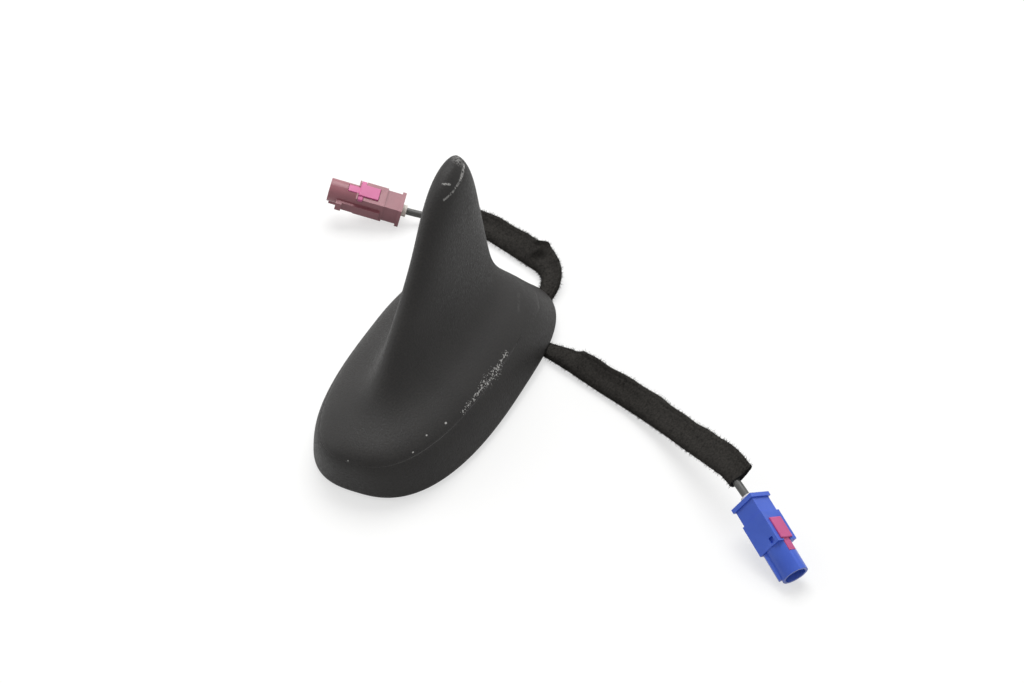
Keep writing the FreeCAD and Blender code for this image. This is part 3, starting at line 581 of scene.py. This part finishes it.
def add_tape(plug, seed):
    """Closed sleeve: cut rings at the start, the swept ring, cut rings at the end, then the fibres."""
    rng = np.random.default_rng(seed)
    ring, ways = tape_ring(plug, rng)
    sleeve = np.concatenate([cut_end(ring[0], -ways[0])[::-1], ring, cut_end(ring[-1], ways[-1])])
    spikes = fibre_points(ring, rng)
    rows = len(sleeve)
    caps = [np.arange(TAPE_COLUMNS)[::-1], np.arange(TAPE_COLUMNS) + (rows - 1) * TAPE_COLUMNS]
    cells = list(grid_cells(rows, TAPE_COLUMNS)) + caps
    if FLAG_SIDES[plug] < 0:
        cells = [cell[::-1] for cell in cells]
    first = rows * TAPE_COLUMNS + len(FIBRE_SIDES) * np.arange(FIBRES)
    spike_faces = (first[:, None, None] + FIBRE_SIDES).reshape(-1, 3)
    points = np.concatenate([sleeve.reshape(-1, 3), spikes.reshape(-1, 3)])
    points[:, 2] = np.maximum(points[:, 2], FLOOR_CLEARANCE)
    return add_mesh(plug + "_fleece_tape", points, cells + list(spike_faces))


TAPES = {plug: add_tape(plug, seed) for seed, plug in enumerate(ROUTES, start=FIRST_SEED)}

# %% [markdown]
# The cover is one moulding: an oval skirt, a soft crease, a domed deck and the
# fin. It could be sculpted, but a few numbers are easier to tune: three smooth
# rails run from the rim to the tip, for the front, the rear and the half width.
# The stations that draw them are the solid model's, with the foot of the fin
# about a millimetre slimmer. The columns are front x, rear x, front z, rear z and
# half width, from the rim to the tip.

# %% Cover rails
STATIONS = np.array([
    [58.24, -60.46, -3.0, 0.0, 29.6],
    [59.94, -55.16, 4.9, 4.9, 27.7],
    [61.74, -49.16, 12.0, 11.7, 24.6],
    [55.94, -44.16, 15.8, 16.5, 18.3],
    [40.44, -41.36, 20.1, 21.1, 9.4],
    [28.34, -40.06, 34.1, 30.7, 7.0],
    [7.54, -34.16, 52.8, 49.4, 6.2],
    [-3.86, -27.16, 72.4, 70.8, 5.9],
    [-15.56, -22.16, 75.0, 75.0, 1.7],
]) * MM
RAIL_DEGREE = 3
LAST_SHARE = 1 - 1e-9


def spline_weights(shares, count, degree=RAIL_DEGREE):
    """Weights of the drawing points: de Boor's recursion on clamped, evenly spaced knots."""
    inside = np.linspace(0.0, 1.0, count - degree + 1)
    knots = np.concatenate([np.zeros(degree), inside, np.ones(degree)])
    spot = np.minimum(shares, LAST_SHARE)[:, None]
    weights = ((knots[:-1] <= spot) & (spot < knots[1:])).astype(float)
    for order in range(1, degree + 1):
        left = knots[order:-1] - knots[: -order - 1]
        right = knots[order + 1 :] - knots[1:-order]
        rising = (spot - knots[: -order - 1]) / np.where(left > 0, left, 1) * (left > 0)
        falling = (knots[order + 1 :] - spot) / np.where(right > 0, right, 1) * (right > 0)
        weights = rising * weights[:, :-1] + falling * weights[:, 1:]
    return weights


print("weights half way up:", np.round(spline_weights(np.array([0.5]), len(STATIONS)), 3))

# %% [markdown]
# Every level of the cover between the rails is a superellipse: an oval that can
# be more or less square. Even angles would crowd its points at the sides and leave
# the corners coarse, so the angles are chosen to space the points evenly: the
# oval is measured in fine steps, and equal lengths are read back from it.

# %% Even spacing
FRONT_SQUARENESS, REAR_SQUARENESS, FIN_SQUARENESS = 2.7, 3.0, 2.0
RIM_SLENDERNESS = 2.0
FINE_STEPS = 4001
COVER_COLUMNS = 300


def even_angles(columns):
    """Angles that space points evenly round a superellipse as wide and long as the rim."""
    fine = np.linspace(0.0, 2 * np.pi, FINE_STEPS)
    power = 2 / FRONT_SQUARENESS
    x = RIM_SLENDERNESS * signed_power(np.cos(fine), power)
    y = signed_power(np.sin(fine), power)
    run = np.concatenate([[0.0], np.cumsum(np.hypot(np.diff(x), np.diff(y)))])
    return np.interp(np.linspace(0.0, run[-1], columns, endpoint=False), run, fine)


ANGLES = even_angles(COVER_COLUMNS)
print("angle steps from", np.diff(ANGLES).min(), "to", np.diff(ANGLES).max())

# %% [markdown]
# The skirt is squarer at the rear than at the front, and towards the tip both
# become a plain ellipse. Each level is tilted from the rear rail to the front
# one. The inside is the same shape with its rails moved in by the wall, which a
# solidify modifier would give less evenly in the thin fin.

# %% Cover sections
RIM_HEIGHT = 4.4 * MM
WIDEST_SHARE = 0.42


def moved_in(rail, wall):
    """A rail moved sideways by the wall: its direction turned by a quarter gives the way."""
    way = unit(np.gradient(rail, axis=0))
    return rail - wall * np.stack([way[:, 1], -way[:, 0]], axis=1)


def sections(shares, angles, wall=0.0):
    """Superellipse of each level, tilted from the rear rail to the front one."""
    rails = spline_weights(shares, len(STATIONS)) @ STATIONS
    front = moved_in(rails[:, [0, 2]], wall)
    rear = moved_in(rails[:, [1, 3]], -wall)
    half = moved_in(np.stack([rails[:, 4], (rails[:, 2] + rails[:, 3]) / 2], axis=1), wall)
    middle = rear[:, 0] + WIDEST_SHARE * (front[:, 0] - rear[:, 0])
    ahead = np.cos(angles) >= 0
    square = np.where(ahead, FRONT_SQUARENESS, REAR_SQUARENESS)
    square = square + (FIN_SQUARENESS - square) * shares[:, None]
    reach = np.where(ahead, (front[:, 0] - middle)[:, None], (middle - rear[:, 0])[:, None])
    x = middle[:, None] + reach * signed_power(np.cos(angles), 2 / square)
    y = half[:, :1] * signed_power(np.sin(angles), 2 / square)
    slope = (front[:, 1] - rear[:, 1]) / (front[:, 0] - rear[:, 0])
    z = RIM_HEIGHT + rear[:, 1:] + slope[:, None] * (x - rear[:, :1])
    return np.stack([x, y, z], axis=-1)


both_ends = sections(np.array([0.0, 1.0]), ANGLES)
print("rim:", np.ptp(both_ends[0], axis=0), "tip:", np.ptp(both_ends[1], axis=0))

# %% [markdown]
# Where the skirt turns into the deck, the mould has left a hairline groove that
# drops towards the rear. A bump in the material would fade at a grazing view, so
# the groove is real: points near the line go in by a tenth of a millimetre.

# %% Crease groove
CREASE_DEPTH = 0.10 * MM
CREASE_HALF_WIDTH = 0.7 * MM
CREASE_SIDE_HEIGHT = 15.7 * MM
CREASE_REAR_DROP = 3.2 * MM
CREASE_BEND_X = -7.0 * MM
CREASE_BEND_LENGTH = 35.0 * MM


def with_crease(skin):
    """Each point goes in along its normal by a bell curve of its height off the crease line."""
    up = np.gradient(skin, axis=0)
    round_way = np.roll(skin, -1, axis=1) - np.roll(skin, 1, axis=1)
    normal = unit(np.cross(round_way, up))
    drop = CREASE_REAR_DROP * eased((CREASE_BEND_X - skin[..., 0]) / CREASE_BEND_LENGTH)
    off_line = skin[..., 2] - (CREASE_SIDE_HEIGHT - drop)
    depth = CREASE_DEPTH * np.exp(-((off_line / CREASE_HALF_WIDTH) ** 2))
    return skin - depth[..., None] * normal


print("crease from", CREASE_SIDE_HEIGHT, "down to", CREASE_SIDE_HEIGHT - CREASE_REAR_DROP)

# %% [markdown]
# The tip is a small dome, and the rim is a flat lip that falls towards the front.
# The outer skin has more rows near the crease, so that the groove is smooth.
# Inner skin, outer skin and dome are one closed grid, from the roof of the
# cavity down to the rim and up again to the tip.

# %% Cover
COVER_WALL = 2.4 * MM
COVER_ROWS = 150
CREASE_ROWS = 60
CREASE_SHARES = (0.10, 0.30)
INNER_ROWS = 48
INNER_SHARE = 0.86
TIP_ROWS = 10
TIP_RISE = 0.6 * MM


def tip_dome(ring):
    """Rings that close the tip: scaled down evenly and raised along a parabola."""
    left = np.linspace(1.0, 0.0, TIP_ROWS + 1)[1:-1]
    centre = ring.mean(axis=0)
    dome = centre + left[:, None, None] * (ring - centre)
    dome[..., 2] += TIP_RISE * (1 - left[:, None] ** 2)
    return dome


def rim_level(points):
    """Height of the rim's plane, which falls from the rear of the rim to its front."""
    front, rear, front_rise, rear_rise = STATIONS[0, :4]
    share = (points[..., 0] - rear) / (front - rear)
    return RIM_HEIGHT + rear_rise + (front_rise - rear_rise) * share


def add_cover():
    """Inner skin from its roof down to the rim, then the outer skin up to the domed tip."""
    even = np.linspace(0.0, 1.0, COVER_ROWS)
    dense = np.linspace(*CREASE_SHARES, CREASE_ROWS)
    outer = with_crease(sections(np.union1d(even, dense), ANGLES))
    inner = sections(np.linspace(0.0, INNER_SHARE, INNER_ROWS), ANGLES, COVER_WALL)
    inner[0, :, 2] = rim_level(inner[0])
    skin = np.concatenate([inner[::-1], outer, tip_dome(outer[-1])])
    rows = len(skin)
    roof = np.arange(COVER_COLUMNS)[::-1]
    tip = np.arange(COVER_COLUMNS) + (rows - 1) * COVER_COLUMNS
    faces = list(grid_cells(rows, COVER_COLUMNS)) + [roof, tip]
    return add_mesh("cover_shell", skin.reshape(-1, 3), faces)


cover = add_cover()

# %% [markdown]
# No real surface is one flat colour. A picture wrapped round the piece would show
# that, but it needs a file and seams, so every finish here is worked out from the
# position on the object. One helper starts a material, and two more each add a
# node: a cloudy pattern, and a value stretched to another span.

# %% Pattern helpers


def new_finish(name):
    """A material with its principled shader, and the tree's nodes and links."""
    material = bpy.data.materials.new(name)
    material.use_nodes = True
    tree = material.node_tree
    return material, tree.nodes, tree.links, tree.nodes["Principled BSDF"]


def noise(nodes, links, place, scale, detail=3.0):
    """Cloudy pattern, scale to the metre, read at a place."""
    cloud = nodes.new("ShaderNodeTexNoise")
    cloud.inputs["Scale"].default_value = scale
    cloud.inputs["Detail"].default_value = detail
    links.new(place, cloud.inputs["Vector"])
    return cloud.outputs["Fac"]


def between(nodes, links, value, low, high, from_low=0.3, from_high=0.7):
    """Stretch a value from one span to another."""
    span = nodes.new("ShaderNodeMapRange")
    span.inputs["From Min"].default_value = from_low
    span.inputs["From Max"].default_value = from_high
    span.inputs["To Min"].default_value = low
    span.inputs["To Max"].default_value = high
    links.new(value, span.inputs["Value"])
    return span.outputs["Result"]


print("pattern helpers:", noise.__name__, between.__name__)

# %% [markdown]
# A pattern is only a value from 0 to 1. It becomes something to see when it mixes
# two colours, or when it is read as a height that tilts the surface. Real bumps
# would need millions of faces, and at this size the tilt looks the same.

# %% Colour and bump


def mixed(nodes, links, share, first, second):
    """Colour that goes from the first to the second as the share goes from 0 to 1."""
    mix = nodes.new("ShaderNodeMix")
    mix.data_type = "RGBA"
    links.new(share, mix.inputs["Factor"])
    for name, colour in (("A", first), ("B", second)):
        socket = [s for s in mix.inputs if s.name == name and s.type == "RGBA"][0]
        if isinstance(colour, tuple):
            socket.default_value = colour + (1.0,)
        else:
            links.new(colour, socket)
    return [s for s in mix.outputs if s.type == "RGBA"][0]


def bumped(nodes, links, height, distance, shader):
    """Tilt the shader's normal by a height pattern of that depth in metres."""
    bump = nodes.new("ShaderNodeBump")
    bump.inputs["Strength"].default_value = 1.0
    bump.inputs["Distance"].default_value = distance
    links.new(height, bump.inputs["Height"])
    links.new(bump.outputs["Normal"], shader.inputs["Normal"])


print("colour and bump helpers:", mixed.__name__, bumped.__name__)

# %% [markdown]
# Most pieces share one recipe: two close tones swim into each other in a slow
# cloud, and a finer grain roughens the surface. Writing it once, with the tones
# and the roughness as its inputs, makes each material below a single call.

# %% Mottled finish
ROUGHNESS_SPREAD = 0.06


def mottled(name, dark, light, rough, metal=0.0, cloud=120.0, grain=2500.0, depth=0.01, specular=0.5):
    """Two tones in a slow cloud, with a fine grain in the roughness and the normal, its depth in mm."""
    material, nodes, links, shader = new_finish(name)
    place = nodes.new("ShaderNodeTexCoord").outputs["Object"]
    tone = between(nodes, links, noise(nodes, links, place, cloud), 0.0, 1.0)
    fine = noise(nodes, links, place, grain)
    links.new(mixed(nodes, links, tone, dark, light), shader.inputs["Base Color"])
    smoothest, roughest = rough - ROUGHNESS_SPREAD, rough + ROUGHNESS_SPREAD
    links.new(between(nodes, links, fine, smoothest, roughest), shader.inputs["Roughness"])
    shader.inputs["Metallic"].default_value = metal
    shader.inputs["Specular IOR Level"].default_value = specular
    bumped(nodes, links, fine, depth * MM, shader)
    return material


print("roughness varies by", ROUGHNESS_SPREAD, "either way")

# %% [markdown]
# The cover has had a hard life: it is chipped white along the crease on the right
# of the picture, nicked further along and scratched at the tip. The broad pale
# patch over the very tip is painted sheen, kept in the same list as a scratch.
# Painted marks would need a picture, so each mark is a short line on the cover
# with a reach round it, in millimetres. A scratch, like the sheen, also has a
# strength.

# %% Wear marks and painted tip sheen
SCRATCHES_AND_TIP_SHEEN = [
    ((-20.6, 3.0, 77.3), (-15.0, 4.2, 75.2), 0.95, 0.9),
    ((-14.4, 4.2, 75.0), (-11.4, 4.0, 74.3), 0.60, 0.6),
    ((-10.6, 4.0, 74.0), (-6.0, 2.7, 73.2), 0.55, 0.45),
    ((-9.1, 1.0, 76.8), (-10.6, 2.8, 76.3), 0.50, 0.8),
    # This broad, faint line over the tip is painted sheen: a pale patch where the tip catches the light.
    ((-23.0, -0.6, 78.6), (-19.6, 1.6, 79.2), 2.4, 0.36),
    ((-35.0, 15.8, 19.2), (-27.3, 19.1, 18.4), 0.8, 0.07),
    ((-47.0, 17.1, 12.4), (-38.6, 22.1, 12.5), 0.5, 0.08),
    ((54.8, -13.5, 14.6), (60.3, -0.8, 15.5), 0.4, 0.07),
]
NICKS = [
    ((33.0, 20.1, 17.1), 0.44),
    ((41.3, 17.3, 17.7), 0.36),
    ((48.8, 16.1, 16.3), 0.30),
    ((60.1, -1.0, 15.9), 0.30),
]
CHIPPED_RUNS = [
    ((-8.0, 23.2, 16.3), (1.0, 23.9, 15.7), 1.7),
    ((1.0, 23.9, 15.7), (11.6, 23.0, 16.3), 3.2),
    ((13.0, 23.0, 16.3), (25.0, 22.3, 16.0), 1.5),
]
# The count of scratches includes the painted sheen at the tip.
print("wear:", len(SCRATCHES_AND_TIP_SHEEN), "scratches,", len(NICKS), "nicks,", len(CHIPPED_RUNS), "chipped runs")

# %% [markdown]
# A mark may show wherever the surface is near its line. The material can work out
# that distance itself with a few vector nodes, so the marks need no unwrapping
# and stay sharp in a close-up.

# %% Distance to a line


def vector_math(nodes, operation):
    """A vector math node of one operation."""
    node = nodes.new("ShaderNodeVectorMath")
    node.operation = operation
    return node


def near_line(nodes, links, place, start, end, inner, outer):
    """1 within an inner distance of a straight line, falling to 0 at an outer one, in millimetres.

    The nearest point of the line is its start plus a share of its run, and the share is the
    offset from the start along the run, kept between 0 and 1.
    """
    run = (np.array(end) - np.array(start)) * MM
    offset = vector_math(nodes, "SUBTRACT")
    links.new(place, offset.inputs[0])
    offset.inputs[1].default_value = np.array(start) * MM
    share = vector_math(nodes, "DOT_PRODUCT")
    links.new(offset.outputs["Vector"], share.inputs[0])
    share.inputs[1].default_value = run / (run @ run)
    kept = between(nodes, links, share.outputs["Value"], 0.0, 1.0, 0.0, 1.0)
    nearest = vector_math(nodes, "SCALE")
    nearest.inputs[0].default_value = run
    links.new(kept, nearest.inputs["Scale"])
    gap = vector_math(nodes, "DISTANCE")
    links.new(offset.outputs["Vector"], gap.inputs[0])
    links.new(nearest.outputs["Vector"], gap.inputs[1])
    return between(nodes, links, gap.outputs["Value"], 1.0, 0.0, inner * MM, outer * MM)


print("widest mark:", max(reach for _, _, reach in CHIPPED_RUNS), "mm")

# %% [markdown]
# Several marks lie over each other, and at each spot the strongest one counts. A
# math node does that, and it also adds and multiplies. Its inputs are sometimes
# numbers and sometimes other nodes, so a small helper takes either.

# %% Values put together


def combined(nodes, links, operation, first, second):
    """Two values, each a number or an output, put together by a math node."""
    node = nodes.new("ShaderNodeMath")
    node.operation = operation
    for socket, value in zip(node.inputs, (first, second)):
        if isinstance(value, (int, float)):
            socket.default_value = value
        else:
            links.new(value, socket)
    return node.outputs["Value"]


print("value helper:", combined.__name__)

# %% [markdown]
# Real wear is broken: a scratch skips over the grain, and chips crowd in the
# middle of a run. A fine cloud does both. It breaks up each scratch and the
# painted sheen at the tip, and near a chipped run it is raised, so that more of
# it passes the level where it shows.

# %% Broken marks
SPECK_SCALE, SPECK_DETAIL = 1700.0, 2.0
# Core and breaks serve the scratches and the painted sheen at the tip alike.
SCRATCH_AND_SHEEN_CORE = 0.2
SCRATCH_AND_SHEEN_BREAKS = (0.40, 0.56)
NICK_CORE = 0.3
NICK_RUN = np.array([0.3, 0.0, 0.1])
CHIP_CROWDING = 0.16
CHIP_LEVELS = (0.67, 0.71)
CHIP_WHITENESS = 0.85


def wear_and_sheen_marks(nodes, links, place):
    """How white the cover turns from wear and from painted sheen: the strongest of scratches, the tip's
    sheen, nicks and chips at each spot.
    """
    specks = noise(nodes, links, place, SPECK_SCALE, SPECK_DETAIL)
    marks = []
    # The scratch list also carries the painted sheen at the tip.
    for start, end, reach, strength in SCRATCHES_AND_TIP_SHEEN:
        line = near_line(nodes, links, place, start, end, SCRATCH_AND_SHEEN_CORE * reach, reach)
        breaks = between(nodes, links, specks, 0.0, strength, *SCRATCH_AND_SHEEN_BREAKS)
        marks.append(combined(nodes, links, "MULTIPLY", line, breaks))
    for spot, reach in NICKS:
        marks.append(near_line(nodes, links, place, spot, spot + NICK_RUN, NICK_CORE * reach, reach))
    for start, end, reach in CHIPPED_RUNS:
        crowd = near_line(nodes, links, place, start, end, 0.0, reach)
        raised = combined(nodes, links, "MULTIPLY", crowd, CHIP_CROWDING)
        level = combined(nodes, links, "ADD", specks, raised)
        chips = between(nodes, links, level, 0.0, CHIP_WHITENESS, *CHIP_LEVELS)
        marks.append(combined(nodes, links, "MULTIPLY", chips, crowd))
    wear_and_sheen = 0.0
    for mark in marks:
        wear_and_sheen = combined(nodes, links, "MAXIMUM", wear_and_sheen, mark)
    return wear_and_sheen


print("chips show where the cloud passes", CHIP_LEVELS)

# %% [markdown]
# The cover is black plastic with a fine moulded grain. Two black tones lie in a
# slow cloud, and a grain of well under a millimetre goes into the colour, the
# roughness and the normal, so that it shows in the light and in the shade. A
# plain black would look like a hole in the picture. The wear marks and the
# painted sheen at the tip lie on top.

# %% Cover finish
COVER_DARK = (0.0105, 0.0098, 0.0092)
COVER_LIGHT = (0.022, 0.0205, 0.0195)
# Pale tone of the wear marks, also used for the painted sheen at the tip.
WORN_AND_SHEEN_TONE = (0.62, 0.61, 0.59)
CLOUD_SCALE, CLOUD_SHARE = 60.0, 0.6
GRAIN_SCALE, GRAIN_DEPTH = 1400.0, 0.12 * MM
GRAIN_TONES = (-0.7, 1.1)
COVER_ROUGHNESS = (0.46, 0.72)
COVER_SPECULAR = 0.30


def cover_finish():
    """Grained black plastic, whitened by wear and by the painted sheen at the tip."""
    material, nodes, links, shader = new_finish("cover_plastic")
    place = nodes.new("ShaderNodeTexCoord").outputs["Object"]
    cloud = between(nodes, links, noise(nodes, links, place, CLOUD_SCALE), 0.0, CLOUD_SHARE)
    grain = noise(nodes, links, place, GRAIN_SCALE)
    tone = combined(nodes, links, "ADD", cloud, between(nodes, links, grain, *GRAIN_TONES))
    plain = mixed(nodes, links, tone, COVER_DARK, COVER_LIGHT)
    # The marks mixed in here include the painted sheen at the tip.
    wear_and_sheen = wear_and_sheen_marks(nodes, links, place)
    links.new(mixed(nodes, links, wear_and_sheen, plain, WORN_AND_SHEEN_TONE), shader.inputs["Base Color"])
    links.new(between(nodes, links, grain, *COVER_ROUGHNESS), shader.inputs["Roughness"])
    shader.inputs["Specular IOR Level"].default_value = COVER_SPECULAR
    bumped(nodes, links, grain, GRAIN_DEPTH, shader)
    return material


cover.data.materials.append(cover_finish())
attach(cover, "root")
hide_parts("fin_cover")
print("cover finish:", len(cover.data.materials[0].node_tree.nodes), "nodes")

# %% [markdown]
# The plugs are small mouldings with crisp but never sharp edges. Their forms
# could be drawn again, but the solids have them already, so a copy of each mesh
# is welded, its flat faces are made whole again, and a narrow bevel rounds every
# edge that turns more than a little. Without it no edge would catch the light.

# %% Edge rounding
EDGE_ROUND = 0.22 * MM
EDGE_STEPS = 2
ROUND_PROFILE = 0.5
EDGE_TURN = math.radians(35)
FLAT_TURN = math.radians(1)
WELD = 1e-6


def round_edges(mesh):
    """Weld a mesh, make its flat faces whole and bevel the edges that turn more than the limit."""
    shape = bmesh.new()
    shape.from_mesh(mesh)
    bmesh.ops.remove_doubles(shape, verts=shape.verts, dist=WELD)
    bmesh.ops.dissolve_limit(shape, angle_limit=FLAT_TURN, verts=shape.verts, edges=shape.edges)
    sharp = [edge for edge in shape.edges if edge.calc_face_angle(0.0) > EDGE_TURN]
    bmesh.ops.bevel(
        shape, geom=sharp, offset=EDGE_ROUND, segments=EDGE_STEPS, profile=ROUND_PROFILE,
        affect="EDGES", clamp_overlap=True,
    )
    shape.to_mesh(mesh)
    shape.free()
    print(mesh.name, len(sharp), "edges rounded")


print("edges are rounded by", EDGE_ROUND)

# %% [markdown]
# The rounded copy stands in for the solid. It is shaded smooth, so that the nose
# looks round, but a flat face must not borrow its neighbour's light, so edges
# that still turn by more than a little are marked sharp.

# %% Soft-edged copies
SMOOTH_TURN = math.radians(20)


def soft_edged(name, finish):
    """Copy of a solid with rounded edges, shaded smooth except where faces still turn sharply."""
    mesh = NODES[name].data.copy()
    mesh.name = name + "_moulding"
    round_edges(mesh)
    mesh.polygons.foreach_set("use_smooth", np.full(len(mesh.polygons), True))
    mesh.set_sharp_from_angle(angle=SMOOTH_TURN)
    mesh.materials.clear()
    mesh.materials.append(finish)
    obj = bpy.data.objects.new(name + "_moulding", mesh)
    bpy.context.collection.objects.link(obj)
    print(obj.name, len(mesh.polygons), "faces")
    return obj


print("edges stay sharp over", round(math.degrees(SMOOTH_TURN)), "degrees")

# %% [markdown]
# The colour of each housing tells the fitter which lead it ends: blue for
# positioning, bordeaux for the phone. Each has a pink lock that slides in from
# the side. The blue reflects less than plain plastic does, because in the photo
# its faces stay pure in the light.

# %% Plug mouldings
PLUG_FINISHES = {
    "gps_plug_housing": mottled(
        "blue", (0.050, 0.118, 0.61), (0.068, 0.150, 0.68), rough=0.34, specular=0.38
    ),
    "gps_plug_lock": mottled("pink", (0.55, 0.075, 0.24), (0.63, 0.10, 0.29), rough=0.42),
    "phone_plug_housing": mottled("bordeaux", (0.285, 0.098, 0.122), (0.345, 0.126, 0.150), rough=0.36),
    "phone_plug_lock": mottled("rose", (0.56, 0.10, 0.27), (0.64, 0.13, 0.32), rough=0.42),
}
MOULDINGS = {}
for name, finish in PLUG_FINISHES.items():
    moulding = soft_edged(name, finish)
    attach(moulding, "root")
    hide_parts(name)
    MOULDINGS[name] = moulding

# %% [markdown]
# The tape is matt felt with a coarse grain, and the cable has a smooth satin
# jacket. Both are soft, and they move together: what is wrapped round the cable
# and what hangs on its end goes with it. So for each lead the pieces that ride
# on it are gathered in a list and counted.

# %% Lead finishes and the pieces on each lead
fleece = mottled(
    "fleece", (0.021, 0.0197, 0.0182), (0.042, 0.039, 0.0352), rough=0.95,
    cloud=1400.0, grain=1900.0, depth=0.2, specular=0.12,
)
jacket = mottled("jacket", (0.060, 0.060, 0.057), (0.080, 0.080, 0.076), rough=0.42)
CONTACTS = ("ferrule", "contact_shell", "contact_insulator", "contact_pin")
for plug, lead in LEADS.items():
    lead.data.materials.append(jacket)
    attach(lead, "root")
    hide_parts(plug + "_lead_inner", plug + "_lead_end")
    tape = TAPES[plug]
    tape.data.materials.append(fleece)
    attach(tape, "root")
    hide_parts(plug + "_tape")
    on_it = [tape] + [MOULDINGS[plug + "_plug_" + piece] for piece in ("housing", "lock")]
    on_it += [NODES[plug + "_" + piece] for piece in CONTACTS]
    print(lead.name, "carries", len(on_it), "pieces")

# %% [markdown]
# The pieces under the cover and inside the plugs hardly show, so they keep the
# solid model's own shapes and only get a finish. Metals come first: a metal has
# no colour of its own under its shine, so its tone goes into the reflection.

# %% Metal finishes
METALS = {
    "base_plate": mottled("cast_alloy", (0.30, 0.30, 0.31), (0.40, 0.40, 0.41), rough=0.5, metal=0.8),
    "roof_thread_insert": mottled("insert", (0.45, 0.44, 0.42), (0.55, 0.54, 0.52), rough=0.35, metal=1.0),
    "patch_electrode": mottled("silver", (0.75, 0.74, 0.70), (0.85, 0.84, 0.80), rough=0.3, metal=1.0),
    "patch_feed_pin": mottled("brass", (0.62, 0.45, 0.16), (0.72, 0.54, 0.22), rough=0.3, metal=1.0),
    "shield_can": mottled("tin", (0.60, 0.60, 0.58), (0.70, 0.70, 0.68), rough=0.3, metal=1.0),
    "phone_radiator": mottled("radiator_tin", (0.58, 0.57, 0.54), (0.68, 0.67, 0.64), rough=0.35, metal=1.0),
    "cover_screws": mottled("screw", (0.40, 0.40, 0.40), (0.52, 0.52, 0.52), rough=0.35, metal=1.0),
    "board_screws": mottled("small_screw", (0.40, 0.40, 0.40), (0.52, 0.52, 0.52), rough=0.35, metal=1.0),
    "contact_shell": mottled("gold", (0.70, 0.52, 0.20), (0.80, 0.61, 0.27), rough=0.3, metal=1.0),
    "contact_pin": mottled("gold_pin", (0.72, 0.54, 0.22), (0.82, 0.63, 0.29), rough=0.25, metal=1.0),
}
print("metals:", ", ".join(METALS))

# %% [markdown]
# Rubber, board, ceramic and white plastic follow. One name can serve both plugs:
# where a node has no finish under its full name, the name without the plug's own
# word is looked up.

# %% Other finishes
OTHERS = {
    "rim_gasket": mottled("gasket", (0.012, 0.012, 0.012), (0.02, 0.02, 0.02), rough=0.8),
    "cable_grommet": mottled("grommet", (0.015, 0.015, 0.015), (0.025, 0.025, 0.025), rough=0.75),
    "coax_tails": jacket,
    "circuit_board": mottled("board", (0.01, 0.10, 0.035), (0.015, 0.14, 0.05), rough=0.4),
    "gps_patch": mottled("ceramic", (0.50, 0.44, 0.34), (0.58, 0.52, 0.42), rough=0.6),
    "ferrule": mottled("cream", (0.78, 0.74, 0.66), (0.86, 0.83, 0.76), rough=0.5),
    "contact_insulator": mottled("white_insulator", (0.78, 0.78, 0.76), (0.86, 0.86, 0.84), rough=0.5),
}
FINISHES = {**METALS, **OTHERS}
finished = 0
for name, node in NODES.items():
    material = FINISHES.get(name) or FINISHES.get(name.split("_", 1)[1])
    if material:
        node.data.materials.clear()
        node.data.materials.append(material)
        finished += 1
print("nodes with a finish of their own:", finished)
